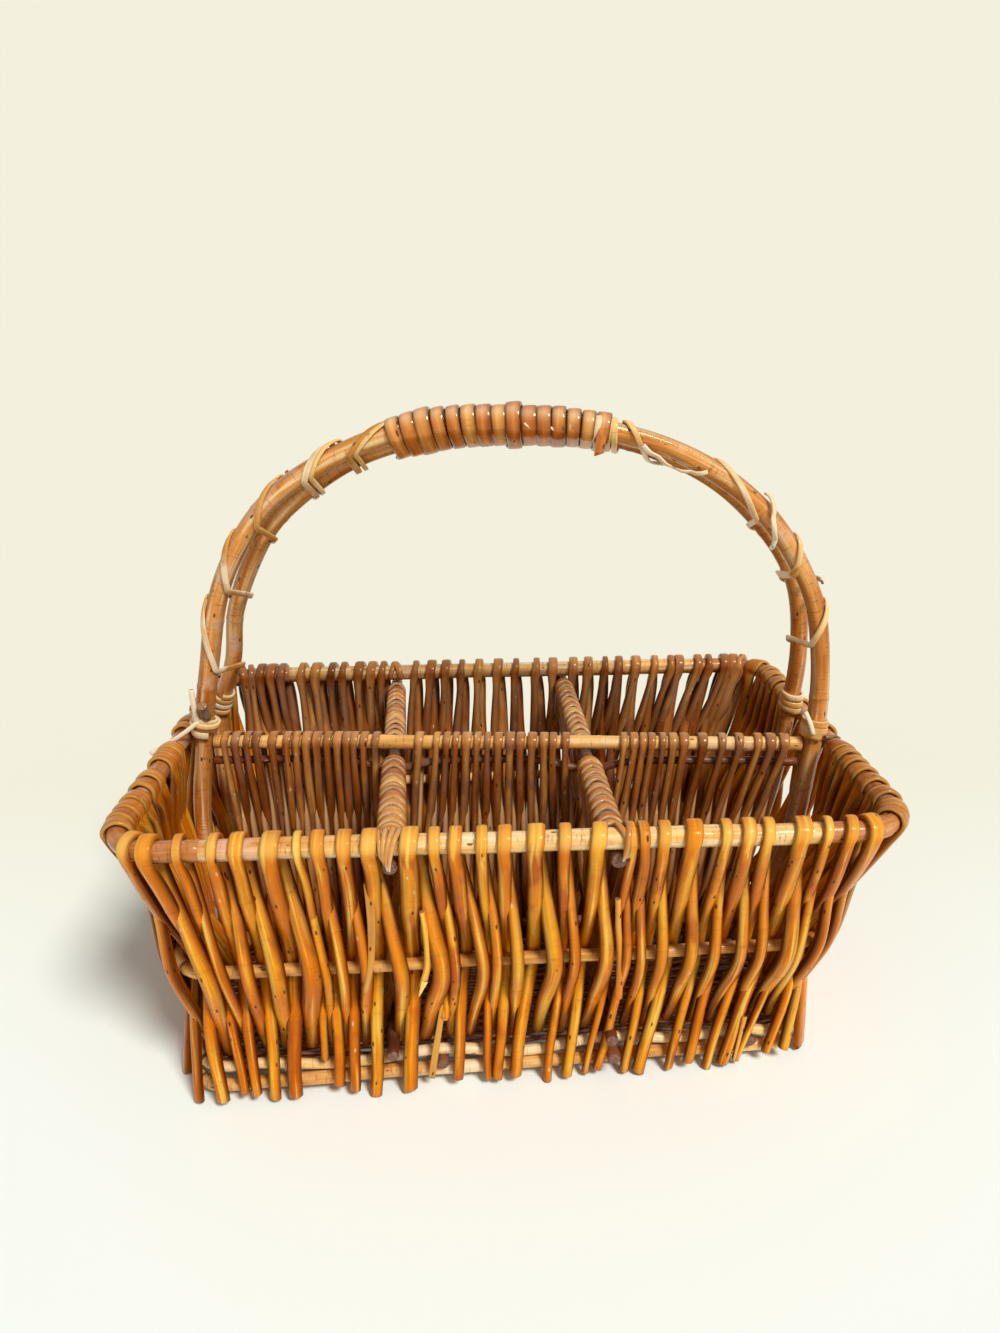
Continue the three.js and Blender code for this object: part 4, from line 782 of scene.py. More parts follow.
# Small twigs, slivers and splinters on the front wall: heights and walks of both ends, widths,
# depth, offsets from the wall, and the rest of the look
STICKS = [
    ("left", ((140, 114), (74, 95.5)), (5, 3), 1.8, (2.6, 10.5),
     dict(flat=0.8, pale=(0.15, 0.3), bark=1, bow=1.5)),
    ("middle", ((121, 135), (72, 124.5)), (2.8, 4.4), 3, (3.5, 6), dict(pale=(0.1, 0.3), bow=1.5)),
    ("middle", ((76, 126), (67, 122.5)), (3.4, 0.8), 1.2, (7, 7.5), dict(flat=0.5, pale=(0.9, 1))),
    ("middle", ((64, 136.5), (8, 125.8)), (2.8, 3.8), 1.4, (-2, 7),
     dict(flat=0.8, pale=(0.4, 0.3), bark=0.8)),
    ("right", ((124, 234), (56, 228.5)), (2.8, 4.4), 3, (3, 6), dict(pale=(0.4, 0.05), bow=-1.5)),
    ("right", ((36, 300), (5, 296)), (2.4, 1.6), 1.4, (6, 8.5), dict(flat=0.5, pale=(0.3, 0.6), bark=0.5)),
]


def wall_stick(b, ends, wide, deep, offsets, flat=0.0, pale=(0.0, 0.0), bow=0.0, **more):
    rows = []
    for t in np.linspace(0, 1, 5):
        z, walk = lerp(ends[0][0], ends[1][0], t), lerp(ends[0][1], ends[1][1], t)
        share = (walk + bow * math.sin(math.pi * t)) / run_of(z, FRONT)[4]
        at, out = place(z, FRONT, share, lerp(*offsets, t))
        rows.append(knot(at, out, lerp(*wide, t), deep, flat, lerp(*pale, t)))
    b.strand(rows, step=3, sides=8, sway=0.2, uneven=0.05, **more)


# The other walls stand by rule, with the frame's counts. Each bay runs from a corner, a divider
# or a handle leg to the next, clear of it by a margin
DIVIDER_MARGIN = CROSS_ROD / 2 + 4
LEG_MARGIN = FRONT_ROD / 2 + 2.5
CORNER_MARGIN = 4.9


# Border of a bay as a share of the run: its start with sign 1, its end with sign -1
def border(side, line, sign):
    margin = DIVIDER_MARGIN if side == BACK else LEG_MARGIN

    def share(z, near=1):
        if line is None:
            return (1 - sign) // 2 + sign * CORNER_MARGIN / run_of(z, side)[4]
        return share_at(z, side, lean_at(line, side, z), sign * margin * near)
    return share


# Side, what parts its bays, and for each bay its count and the walks of folds read from the photo
RULE_WALLS = [
    (BACK, [RIGHT_DIVIDER, LEFT_DIVIDER], {
        "right": (13, [8, 14, 20.5, 32, 40, 54, 60, 72, 86, 98.5, 108.5, 121, 132]),
        "middle": (9, [147, 159, 174, 187, 201, 213.5, 225, 235.5, 247]),
        "left": (12, [270.5, 278.5, 287.5, 299, 307, 318.5, 328.5, 343, 350.5, 358, 366, 373])}),
    (RIGHT, [FRONT_LEGS, BACK_LEGS], {
        "front": (8, [5, 12, 25, 40, 52, 63, 74, 81.5]), "middle": (2, None), "rear": (7, None)}),
    (LEFT, [BACK_LEGS, FRONT_LEGS], {
        "rear": (5, None), "middle": (2, None),
        "front": (9, [127, 134, 142, 163, 173.5, 188, 197.5, 206, 215.5])}),
]
# Where folds that weren't read lie in their cells, from the first to the last of a bay
FOLD_SHARE = {"right_stakes_rear": (0.46, 0.95), "left_stakes_rear": (0.05, 0.46)}
PLAIN_SHARE, FOLD_SHIFT = (0.46, 0.46), 1.5
# How far the legs of a stake stand apart, and how far past its bay a leg may go
BACK_SPREAD = (-3.6, 3.6)
SIDE_SPREAD, SPARSE_SPREAD = (-2.5, 3), (-4, 5.5)
LEG_BACK, LEG_REACH = 2.5, 4
# How far the legs of the last stakes of a back bay stand over towards the divider
BACK_LEAN = {"back_stakes_right": 6, "back_stakes_middle": 6}
CORNER_LEG = 3.5
# Back stakes take a painted highlight on their folds; back and side stakes painted shade on their flanks and
# inner legs; side folds a painted shadow along their seams
BACK_LOOK = dict(step=5, sides=10, flank=0.7, bark=0.2, edge=0.2, fold_highlight=0.3, shade=0.05)
SIDE_LOOK = dict(thick=2.4, sag=1.5, shade=0.3, step=4.5, sides=12, flank=0.7, bark=0.7, paler=0, seam_shadow=1.1)
SIDE_TILT, SIDE_EDGE, TONE_SPREAD = 9, 0.8, 0.6
# Share of their margin that legs keep beside a handle leg, outside and inside
SIDE_NEAR, BACK_NEAR = (0.25, 0.3), (1, 1)
# Swing of the cells' widths, then width and swing of the folds and of the legs
CELL_SWING, CREST_WIDTH, CREST_SWING = 0.2, 6.6, 1.8
LEG_WIDTH, LEG_GROWTH, LEG_CREST, LEG_SWING = 5.2, 0.28, 4.8, 0.5
# Width of a fold as a share of its crest's and more, and how much wider each leg is
BACK_FOLD, SIDE_FOLD, BACK_TOP = (0.82, 0), (0.5, 7.2), 2.8
BACK_WIDER, SIDE_WIDER = (1.4, 1.4), (3.2, 3.8)


def rule_bay(name, side, start, end, count, seed, folds):
    k = np.arange(1, count + 1)
    cell = 1 + CELL_SWING * np.sin(k * 2.4 + seed * 1.7)
    crest = CREST_WIDTH + CREST_SWING * np.sin(k * 1.9 + seed * 3.1)
    marks = np.concatenate([[0], np.cumsum(cell)]) / cell.sum()
    cells, lean = FOLD_SHARE.get(name, PLAIN_SHARE), BACK_LEAN.get(name, 0)
    rim_run = run_of(RIM_HEIGHT, side)[4]
    at_back, sparse = side == BACK, count == 2
    spread = BACK_SPREAD if at_back else SPARSE_SPREAD if sparse else SIDE_SPREAD
    nears = BACK_NEAR if at_back else SIDE_NEAR
    share, more = BACK_FOLD if at_back else SIDE_FOLD
    turn = 1 if side == RIGHT else -1

    def rim_walk(i, q):
        return lerp(start(RIM_HEIGHT), end(RIM_HEIGHT), lerp(marks[i], marks[i + 1], q)) * rim_run

    # Where a leg stands that goes straight down from its fold, outside or inside, moved aside
    def below(fold, z, inside):
        total = run_of(z, side)[4]
        low, high = start(RIM_HEIGHT), end(RIM_HEIGHT)
        share = (fold / rim_run - low) / (high - low)
        low, high = start(z, nears[inside]) * total, end(z, nears[inside]) * total
        walk = lerp(low, high, share) + spread[inside] + lean * share
        return min(max(walk, low - LEG_BACK), high + LEG_REACH)

    b = Bundle()
    for i in range(count):
        fold = folds[i] - FOLD_SHIFT if folds else rim_walk(i, lerp(*cells, i / count))
        # The second of the three draws is spare
        wider, _, foot = rng.uniform((-1, -1, 0), (1, 1, 5))
        leg = LEG_WIDTH + LEG_GROWTH * (crest[i] - LEG_CREST) + LEG_SWING * wider
        if at_back:
            leg = leg + CORNER_LEG * (i == 0 and seed == 1)
            top, widths, look = fold + BACK_TOP, [leg + wide for wide in BACK_WIDER], BACK_LOOK
        else:
            top = fold + rim_walk(i, 0.6) - rim_walk(i, 0.34)
            widths = [leg + wide + sparse for wide in SIDE_WIDER]
            look = dict(SIDE_LOOK, tilt=SIDE_TILT * turn, edge=-SIDE_EDGE * turn,
                        tone=rng.uniform(0, TONE_SPREAD))
        wall_stake(b, side, fold, crest[i] * share + more,
                   below(fold, MID_HEIGHT, 0), below(fold, 0, 0), top,
                   below(fold, MID_HEIGHT, 1), below(fold, INNER_END, 1), *widths, foot=foot, **look)
    b.finish(name.replace("stakes", "wall"), INNER if at_back else AMBER, "amber_willow", name)


for wall, (side, lines, bays) in enumerate(RULE_WALLS):
    lines = [None, *lines, None]
    for k, (part, (count, folds)) in enumerate(bays.items()):
        rule_bay(SIDE_WORDS[side] + "_stakes_" + part, side, border(side, lines[k], 1),
                 border(side, lines[k + 1], -1), count, 3 * wall + k + 1, folds)
for word, *stick, look in STICKS:
    wall_stick(front_bundles[word], *stick, **look)
for word, b in front_bundles.items():
    b.finish("front_wall_" + word, AMBER, "amber_willow", "front_stakes_" + word)


# Handle: both rods' sides darken with painted shade
for word, line, diameter in (("front", front_line, FRONT_ROD), ("back", back_line, BACK_ROD)):
    rod_piece("handle_" + word, BARK, "amber_willow", "handle_rod_" + word, line[::3], diameter,
              out=BACKWARD, step=3, sides=22, sway=0.4, uneven=0.035, buds=85, tone=0.42, flank=0.5)


# Row of a strip that lies on both rods, by walk along the front rod. Degrees turn round them:
# 0 on the back rod's side, 90 inside the arch, 180 on the front rod's side, 270 outside the arch
def round_rods(walk, degrees, wide, thick, lift=0.0, flat=0.85, pale=0.0, dark=0.0):
    middle, across, along, half = rods_at(walk / FRONT_WALK)
    up = np.cross(across, along)
    c, s = at_angle(degrees)
    out = across * c + up * s
    spread = np.sign(c) * min(1, abs(c) * 4) * half
    reach = FRONT_ROD / 2 + thick / 2 + 0.15 + lift
    return knot(middle + across * spread + out * reach, out, wide, thick, flat, pale, dark)


# A strip through stops of walk and degrees, loose between them by its slack
def wind(b, stops, wide, thick, lift=0.0, slack=0.0, pale=0.0, tone=None):
    rows = []
    for (w0, a0), (w1, a1) in zip(stops, stops[1:]):
        count = max(2, int(abs(a1 - a0) / 13))
        for i in range(count):
            t = i / count
            eased = lerp(t, t * t * (3 - 2 * t), 0.35)
            loose = slack * math.sin(math.pi * t)
            rows.append(round_rods(lerp(w0, w1, eased), lerp(a0, a1, t), wide, thick, lift + loose,
                                   pale=pale))
    rows.append(round_rods(*stops[-1], wide, thick, lift, pale=pale))
    b.strand(rows, step=2.5, sides=8, uneven=0.06, edge=0.7, tone=tone)


def walk_of_x(x):
    low, high = 0.2, 0.8
    for _ in range(40):
        share = (low + high) / 2
        low, high = (share, high) if on_line(front_line, share)[0] < x else (low, share)
    return share * FRONT_WALK


# Grip: turns of flat cane with uneven widths, square to the rods, two of them raised, a loose end
# and two splinters, each by walk and degrees
GRIP_LENGTH, GRIP_TURNS, CANE_THICK, GRIP_OVERLAP = 118, 15, 2.6, 366
RAISED_TURNS, RAISED = (2, 8), 1.3
LOOSE_END = ((150, 0), (125, 0.5), (105, 2.5), (98, 6))
SPLINTERS = ((452, 150), (466, 140))


def grip():
    first, last = walk_of_x(-GRIP_LENGTH / 2), walk_of_x(GRIP_LENGTH / 2)
    pitch = (last - first) / GRIP_TURNS
    b = Bundle()
    for k in range(GRIP_TURNS):
        wide = pitch * rng.uniform(0.96, 1.1)
        lift = rng.uniform(0, 0.9) + RAISED * (k in RAISED_TURNS)
        start = 20 + 12 * noise()
        rows = []
        for degrees in np.arange(start, start + GRIP_OVERLAP, 12):
            turned = 2 * ((degrees - start) / GRIP_OVERLAP) - 1
            drift = pitch * 0.5 * turned * (abs(turned) ** 3)
            c, s = at_angle(degrees)
            # Each turn is painted paler on its front side, a painted highlight, and darker along its top,
            # painted shade
            rows.append(round_rods(first + pitch * (k + 0.5) + drift, degrees, wide, CANE_THICK, lift, 0.5,
                                   0.5 * max(0, -c - abs(s + 0.25)) ** 2, 1.5 * max(0, -s - 0.55)))
        # Its flanks take painted shade, dark seams between the turns
        b.strand(rows, step=2.5, sides=14, uneven=0.05, flank=1.5, tone=rng.uniform(0.1, 0.9))
    rows = [round_rods(last - 4, degrees, 5.2, 1.6, 1.6 + lift, 0.9) for degrees, lift in LOOSE_END]
    b.strand(rows, step=1.5, edge=0.5, slant=0.5, tone=0.5, sides=8)
    for walk, degrees in SPLINTERS:
        rows = [round_rods(walk + k * 1.6, degrees - k * 9, 1.5 - 0.35 * k, 0.8, 2.2, 0.5, 0.9)
                for k in range(4)]
        b.strand(rows, step=1.5, sides=6)
    b.finish("grip_winding", CANE, "grip_cane", "handle_grip_wrap")


grip()

# Binders: walk and degrees where the strip passes the rods' outer and inner edges
LEFT_BINDER = [
    (386, 270), (382.7, 250), (354.7, 110), (348, -110), (326.6, -250), (316, -470), (288.4, -610),
    (276.8, -830), (246.1, -970), (235.9, -1190), (194.9, -1330), (188, -1420),
]
RIGHT_BINDER = [
    (496.5, 600), (499, 250), (505.1, 250 - 360), (517.6, 110 - 360), (559, -470), (595.9, -610),
    (619, -830), (637.3, -970), (659.1, -1190), (682.2, -1330), (690, -1440),
]
# Strips of each side: stops, width, thickness, lift, slack, pale and tone
BINDERS = {
    "left": [
        (LEFT_BINDER, 3.4, 1.5, 0, 0.5),
        ([(w + 4.5, a) for w, a in LEFT_BINDER[1:6]], 2.6, 1.4, 0, 0.8, 0, 0.8),
    ],
    "right": [
        ([(491, 210), (493, -150)], 5.2, 2.2, 0.6, 0, 0, 0.3),
        (RIGHT_BINDER, 3.2, 1.5, 0, 0.6),
        ([(517, 140), (527, 110), (538, 95), (548, 110), (556, 150)], 2.6, 1.4, 1.2, 1.4, 0.6),
        ([(590, 250), (601, 180), (612, 130), (617, 95)], 2.6, 1.4, 1.4, 1.6, 0.5),
        ([(633, 160), (640, 20), (648, -120)], 3.4, 1.5, 0.8, 0, 0, 0.7),
    ],
}
for word, strips in BINDERS.items():
    b = Bundle()
    for strip in strips:
        wind(b, *strip)
    b.finish("binder_" + word, PALE, "pale_willow", "handle_binder_" + word)


# Middle, way to the back and way along of a handle leg at a height
def leg_frame(line, side, z):
    half = len(line) // 2
    part = line[:half] if side == LEFT else line[half:][::-1]
    at, ahead = [np.array([np.interp(h, part[:80, 2], part[:80, k]) for k in range(3)]) for h in (z, z + 3)]
    along = unit(ahead - at)
    return at, unit(BACKWARD - along * (BACKWARD @ along)), along


# Turns of a lashing above the rim: radius, start height, rise, turns, width, thickness, phase, tone
def lash(b, line, side, radius, z0, rise, turns, wide, thick, phase, tone, wobble=0.6):
    rows = []
    count = int(turns * 26)
    sway = rng.uniform(0, 6.28)
    for i in range(count + 1):
        t = i / count
        at, across, along = leg_frame(line, side, z0 + rise * t + wobble * math.sin(t * turns * 5 + sway))
        c, s = at_angle(phase + 360 * turns * t)
        out = across * c + np.cross(across, along) * s
        rows.append(knot(at + out * (radius + thick / 2 + 0.15), out, wide, thick, 0.8))
    b.strand(rows, step=2.2, sides=9, uneven=0.05, edge=0.6, tone=tone)


# A tail or stub beside a leg, through points of height, way aside and way to the front
def leg_stick(b, line, side, points, *look):
    rows = []
    for z, aside, front in points:
        at = leg_frame(line, side, z)[0]
        rows.append(knot(at + np.array([aside, -front, 0]), [0, -1, 0], *look))
    b.strand(rows, step=2, sides=8, uneven=0.08)


LASH_Z = RIM_HEIGHT + RIM_ROD / 2
FRONT_RADIUS, BACK_RADIUS = FRONT_ROD / 2, BACK_ROD / 2
LASHINGS = [
    ("left_front", front_line, LEFT,
     [(FRONT_RADIUS, LASH_Z + 1.5, 9, 2.3, 4.6, 2.2, 150, 0.6),
      (FRONT_RADIUS + 1.6, LASH_Z + 6, 3, 1.0, 3.2, 1.8, 210, 0.8)],
     [(((178, -2, 7.5), (172, -9, 9), (165, -19, 10), (158, -30, 8)), 3.0, 2.0, 0.4, 0.9),
      (((198, -8, 5), (190, -6, 6.5), (176, -2.5, 7.5)), 3.0, 2.2, 0.2, 0.6),
      (((180, 2.5, 6.5), (187, 0.5, 8.5), (189.5, 0, 10.5)), 5.5, 5.2, 0, 0, 0.75)]),
    ("right_front", front_line, RIGHT, [(FRONT_RADIUS, LASH_Z + 1, 9, 2.4, 4.8, 2.2, 160, 0.45)],
     [(((183, -8, 4), (177, -5.5, 7), (171, -3.5, 8.5)), 2.6, 1.8, 0.3, 0.9),
      (((168, 5, 6), (167, 12, 4), (165, 15, 2)), 3, 2.6, 0, 0, 0.7)]),
    ("left_back", back_line, LEFT, [(BACK_RADIUS, LASH_Z + 1, 14, 3.2, 3.8, 2.0, 100, 0.4)], []),
    ("right_back", back_line, RIGHT, [(BACK_RADIUS, LASH_Z + 1, 12, 2.7, 4.4, 2.2, 130, 0.35)], []),
]
for word, line, side, turns, tails in LASHINGS:
    b = Bundle()
    for turn in turns:
        lash(b, line, side, *turn)
    for tail in tails:
        leg_stick(b, line, side, *tail)
    b.finish("lashing_" + word, PALE, "pale_willow", "handle_lashing_" + word)


# One folded stake of a divider: a leg on each side, crossing over half way down
DIVIDER_BENDS = [192, 160, 130, 90, 50, 20, -12]
LEGS_CROSS, LEGS_MEET = 2.2, 0.55


def divider_stake(b, top, foot, normal, way, top_rod, crest_wide, leg_wide, shift=0.0, cusp=0.0,
                  tilt=0.0, thick=2.4, slack=0.0, rear_pale=0.25, crest_highlight=0.0, **more):
    deep = min(leg_wide * 0.85, 4.4)
    up_reach = top_rod / 2 + thick / 2 + TOUCH
    side_reach = up_reach + slack
    foot_reach = TIE_ROD / 2 + deep / 2 + LOWER_TOUCH
    middle = lerp(top, foot, LEGS_MEET)
    end = UP * rng.uniform(0.3, 5)

    def leg(down, off, wide, depth, way_off, sign, flat=0.0, pale=0.0, dark=0.0, lift=0.0):
        spot = lerp(top, middle, down) if down <= 1 else lerp(middle, foot, down - 1)
        at = spot + normal * off * sign + way * way_off + end * lift
        return knot(at, normal * sign, wide, depth, flat, pale, dark)

    cross = -LEGS_CROSS
    # Both legs darken towards their feet, painted shade low inside the basket
    rows = [
        leg(2, foot_reach, leg_wide * 0.9, deep * 0.9, -shift, -1, dark=0.4, lift=1),
        leg(1.55, lerp(cross, foot_reach, 0.55), leg_wide, deep, -shift, -1, dark=0.15),
        leg(1, cross, leg_wide, deep, -shift, -1, dark=0.05),
        leg(0.4, lerp(cross, side_reach, 0.6), lerp(leg_wide, crest_wide, 0.3), lerp(deep, thick, 0.5),
            -shift * 0.6, -1, 0.1),
    ]
    for i, degrees in enumerate(DIVIDER_BENDS):
        c, s = at_angle(degrees)
        at = top + normal * c * side_reach + UP * s * up_reach
        at = at + way * (lerp(-shift, shift, i / 6) * 0.3 + cusp * max(0, s) ** 3)
        out = normal * c + UP * s + way * math.tan(math.radians(tilt)) * max(0, s)
        inner = 0 < i < 6
        # The top of the fold is painted paler, a painted highlight
        rows.append(knot(at, out, crest_wide * (1 if inner else 0.85), thick, 0.8 if inner else 0.5,
                         crest_highlight * max(0, s) * rng.uniform(0.2, 1)))
    rows += [
        leg(0.35, lerp(side_reach, cross, 0.35), leg_wide * 0.6, deep * 0.7, shift * 0.6, 1, 0.1, rear_pale),
        leg(1, cross, leg_wide * 0.95, deep, shift, 1, 0, rear_pale * 0.6),
        leg(1.6, lerp(cross, foot_reach, 0.6), leg_wide, deep, shift, 1, dark=0.12),
        leg(2, foot_reach, leg_wide * 0.85, deep * 0.85, shift, 1, dark=0.4, lift=1),
    ]
    b.strand(rows, sway=0.4, uneven=0.04, slant=rng.uniform(-0.2, 0.2), **more)


# Long divider, its folds read from the photo as lengths from the rail's left end
LONG_FOLDS = {
    "left": [8.5, 15, 22, 27.5, 37.5, 46, 51.5, 58, 64, 70.5, 76.5, 82, 86.5, 92.5, 99.5],
    "middle": [125.5, 136, 142, 147.5, 154, 160.5, 166.5, 173, 180, 186, 193, 200, 205.5, 213],
    "right": [247.5, 253.5, 259, 264, 270.5, 276.5, 283, 294, 305.5, 315.5, 326.5, 334, 342],
}
CROSSING_MARGIN = CROSS_ROD / 2 + 1
LONG_FEET_CLEAR = 4
# Long divider stakes: painted shade on their flanks and a painted highlight on the tops of their folds
LONG_LOOK = dict(shift=1.9, thick=2.2, rear_pale=0.6, crest_highlight=0.4, step=5, sides=10, edge=0.2, flank=0.8)


def long_stakes():
    rail_left, _, rail_way = long_line(RIM_HEIGHT, 0)
    normal = np.array([-rail_way[1], rail_way[0], 0])
    left, right, way = long_line(INNER_FOOT_Z, LONG_FEET_CLEAR)
    borders = [left]
    for divider in (LEFT_DIVIDER, RIGHT_DIVIDER):
        mark = crossing(divider, INNER_FOOT_Z)
        borders += [mark - way * CROSSING_MARGIN, mark + way * CROSSING_MARGIN]
    borders.append(right)
    for index, (word, folds) in enumerate(LONG_FOLDS.items()):
        start, stop = borders[2 * index:2 * index + 2]
        b = Bundle()
        for k, fold in enumerate(folds):
            divider_stake(b, rail_left + rail_way * fold, lerp(start, stop, (k + 0.5) / len(folds)), normal,
                          rail_way, LONG_ROD, rng.uniform(3.8, 5.8), rng.uniform(4.4, 5.8), **LONG_LOOK)
        b.finish("long_divider_" + word, INNER, "amber_willow", "long_divider_stakes_" + word)


# Cross dividers: stakes in front of the long divider and behind it, clear of it and of the walls
CROSS_CLEAR = LONG_ROD / 2 + FIT + 3.2 + 2
CROSS_COUNTS = {"front": 11, "rear": 12}
CROSS_TOTAL = sum(CROSS_COUNTS.values())
RIM_CLEAR, FOOT_CLEAR = 9, 14
# Cross divider stakes: painted shade on their flanks and a painted shadow along the back edge of their folds
CROSS_LOOK = dict(cusp=2.4, step=4.5, sides=12, edge=-0.75, flank=0.7, bark=0.1, seam_shadow=1.1)


def cross_stakes(word, divider, part):
    rear = part == "rear"
    count = CROSS_COUNTS[part]

    def ends(z, clear):
        front, back = cross_ends(divider, z, -clear, -clear)
        middle = crossing(divider, z)
        way = unit(back - front)
        return (middle + way * CROSS_CLEAR, back, way) if rear else (front, middle - way * CROSS_CLEAR, way)

    t0, t1, way = ends(RIM_HEIGHT, RIM_CLEAR)
    f0, f1, _ = ends(INNER_FOOT_Z, FOOT_CLEAR)
    t0, t1 = with_z(t0, CROSS_Z), with_z(t1, CROSS_Z)
    pitch = np.linalg.norm(t1 - t0) / count
    normal = np.array([-way[1], way[0], 0])
    b = Bundle()
    for k in range(count):
        share = (k + 0.5 + 0.12 * noise()) / count
        near = 1 - (k + CROSS_COUNTS["front"] * rear + rear) / CROSS_TOTAL
        divider_stake(b, lerp(t0, t1, share), lerp(f0, f1, share), normal, way, CROSS_ROD,
                      pitch * rng.uniform(0.86, 1.04), rng.uniform(4.4, 5.6), shift=pitch * 0.12,
                      tilt=9 + 6 * noise(), thick=lerp(2.2, 2.6, near), slack=lerp(0.3, 1.3, near),
                      **CROSS_LOOK)
    b.finish(word + "_divider_" + part, CROSS, "amber_willow", word + "_divider_stakes_" + part)


def divider_rod(name, slot, node, ends, diameter, count, material=BROWN, **more):
    rod_piece(name, material, slot, node, between(*ends, count), diameter, **more)


# The second rail dips under the cross rails: how far from a crossing, and how long it stays low
DIP_REACH, DIP_FLAT = 26, 6


def second_rail():
    z = RIM_HEIGHT - SECOND_DROP
    under = CROSS_Z - (CROSS_ROD + SECOND_ROD) / 2 - FIT
    left, right, way = long_line(z, 0.7)
    points = [left]
    for divider in (LEFT_DIVIDER, RIGHT_DIVIDER):
        spot = crossing(divider, z)
        dip = with_z(spot, under)
        points += [spot - way * DIP_REACH, dip - way * DIP_FLAT]
        points += [dip + way * DIP_FLAT, spot + way * DIP_REACH]
    points.append(right)
    rod_piece("long_divider_second", BROWN, "blond_willow", "long_divider_second_rail", points, SECOND_ROD,
              sides=12, sway=0.5, uneven=0.06, buds=16)


long_stakes()
for word, divider in (("left", LEFT_DIVIDER), ("right", RIGHT_DIVIDER)):
    for part in CROSS_COUNTS:
        cross_stakes(word, divider, part)
    top_ends = [with_z(p, CROSS_Z) for p in cross_ends(divider, RIM_HEIGHT, CROSS_OUT, CROSS_OUT)]
    divider_rod(word + "_divider_top", "rim_willow", word + "_divider_rail", top_ends, CROSS_ROD, 7,
                sides=16, dark=0.35)
    divider_rod(word + "_divider_bottom", "brown_willow", word + "_divider_bottom_rail",
                cross_ends(divider, TIE_Z, TIE_OUT, TIE_OUT_BACK), TIE_ROD, 7, dark=0.3)
divider_rod("long_divider_top", "rim_willow", "long_divider_rail", long_line(RIM_HEIGHT, 1)[:2],
            LONG_ROD, 13, RAIL, sides=18, sway=0.5, uneven=0.03, buds=60)
second_rail()
divider_rod("long_divider_bottom", "brown_willow", "long_divider_bottom_rail", long_line(LONG_TIE_Z, 1)[:2],
            TIE_ROD, 9, sides=12)


# Strips that tie the ends of the cross rails to the rim: each goes over the rim and down its face.
# A strip has its place along the rim at the back, on top and at its end, how low it ends, its
# width, lift and tone. Its bends are degrees over the rim and shares of the way
TIE_BENDS = ((205, 0.0), (170, 0.1), (130, 0.3), (90, 0.5), (50, 0.7), (15, 0.85), (-15, 0.95))
TIES = {
    "left_divider_lashing_front": (LEFT_DIVIDER, FRONT, [
        (-6.5, -5, -3.4, 6.5, 2.7, 0.0, 0.7), (-2, -1.5, -2.6, 8.5, 2.8, 0.5, 0.9),
        (2.5, 2, -1.4, 10, 2.8, 1.0, 0.8), (6.5, 5, 0.4, 10.5, 2.9, 0.6, 1.0)]),
    "right_divider_lashing_front": (RIGHT_DIVIDER, FRONT, [
        (-2, 0, 5.5, 7, 3.2, 0.3, 0.8), (3, 4.5, 2.5, 8.5, 3.4, 1.0, 0.6), (6, 6.5, 6.8, 5, 2.8, 0.0, 0.3)]),
    "left_divider_lashing_back": (LEFT_DIVIDER, BACK, [
        (-4, 0, 4, 4, 4.2, 0.6, 0.4), (4, 1, -3, 4, 3.6, 0.0, 0.2)]),
}


def tie(name, divider, side, strips):
    at, out = place(RIM_HEIGHT, side, share_at(RIM_HEIGHT, side, divider[SIDE_WORDS[side]][0]))
    along = np.cross(UP, out)
    b = Bundle()
    for start, top, end, low, wide, lift, tone in strips:
        rows = []
        reach = RIM_ROD / 2 + 1.1 + lift
        for degrees, t in TIE_BENDS:
            c, s = at_angle(degrees)
            across = lerp(start, top, t * 2) if t < 0.5 else lerp(top, end, t * 2 - 1)
            facing = out * c + UP * s
            rows.append(knot(at + facing * reach + along * across, facing, wide, 2.4, 0.3))
        reach = reach + 0.5
        for t in (0.4, 1.0):
            spot = at + out * reach * lerp(1, 0.84, t) + along * end * lerp(1, 0.5, t)
            spot = spot - UP * lerp(3, low, t)
            rows.append(knot(spot, out, wide * lerp(0.9, 0.4, t), lerp(2.2, 1.2, t), 0.2, 0.7 * t ** 3))
        # The strips' sides darken with painted shade
        b.strand(rows, step=2, sides=9, edge=0.3, flank=0.6, tone=tone)
    b.finish(name.replace("lashing", "tie"), STRAP, "pale_willow", name)


for name, divider_tie in TIES.items():
    tie(name, *divider_tie)

# Floor: ribs, and thin weavers that pass over and under them
floor_length, floor_width, _, floor_shift, floor_turn, _ = level_at(RIB_Z)
WEAVER_PITCH, WEAVER_WIDE, WEAVER_THICK, WEAVER_RISE, WEAVER_MARGIN = 2.9, 2.7, 1.8, 0.9, 1.5


def on_floor(x, y, z):
    c, s = math.cos(floor_turn), math.sin(floor_turn)
    return np.array([c * x - s * y + floor_shift, s * x + c * y, z])


def floor_weavers():
    inset = UPPER_INSET + UPPER_ROD / 2 + FIT
    half_x, half_y = floor_length / 2 - inset, floor_width / 2 - inset
    b = Bundle()
    for k in range(int(2 * (half_y - WEAVER_MARGIN) / WEAVER_PITCH)):
        y = -half_y + WEAVER_MARGIN + WEAVER_PITCH * (k + 0.5)
        corner = max(0, BASE_CORNER - inset - (half_y - abs(y)))
        reach = half_x - 1 - corner * 0.6
        up = 1 if k % 2 else -1
        rise = RIB_ROD / 2 + WEAVER_RISE
        stops = [(x, up * (1 if i % 2 else -1) * rise) for i, x in enumerate(RIB_PLACES)]
        stops = [(-reach, 0.0), *stops, (reach, 0.0)]
        rows = [knot(on_floor(x, y, RIB_Z + z), UP, WEAVER_WIDE, WEAVER_THICK, 0.2) for x, z in stops]
        b.strand(rows, step=9, sides=6, sway=0.15)
    b.finish("floor_weavers", BROWN, "brown_willow", "floor_weave")


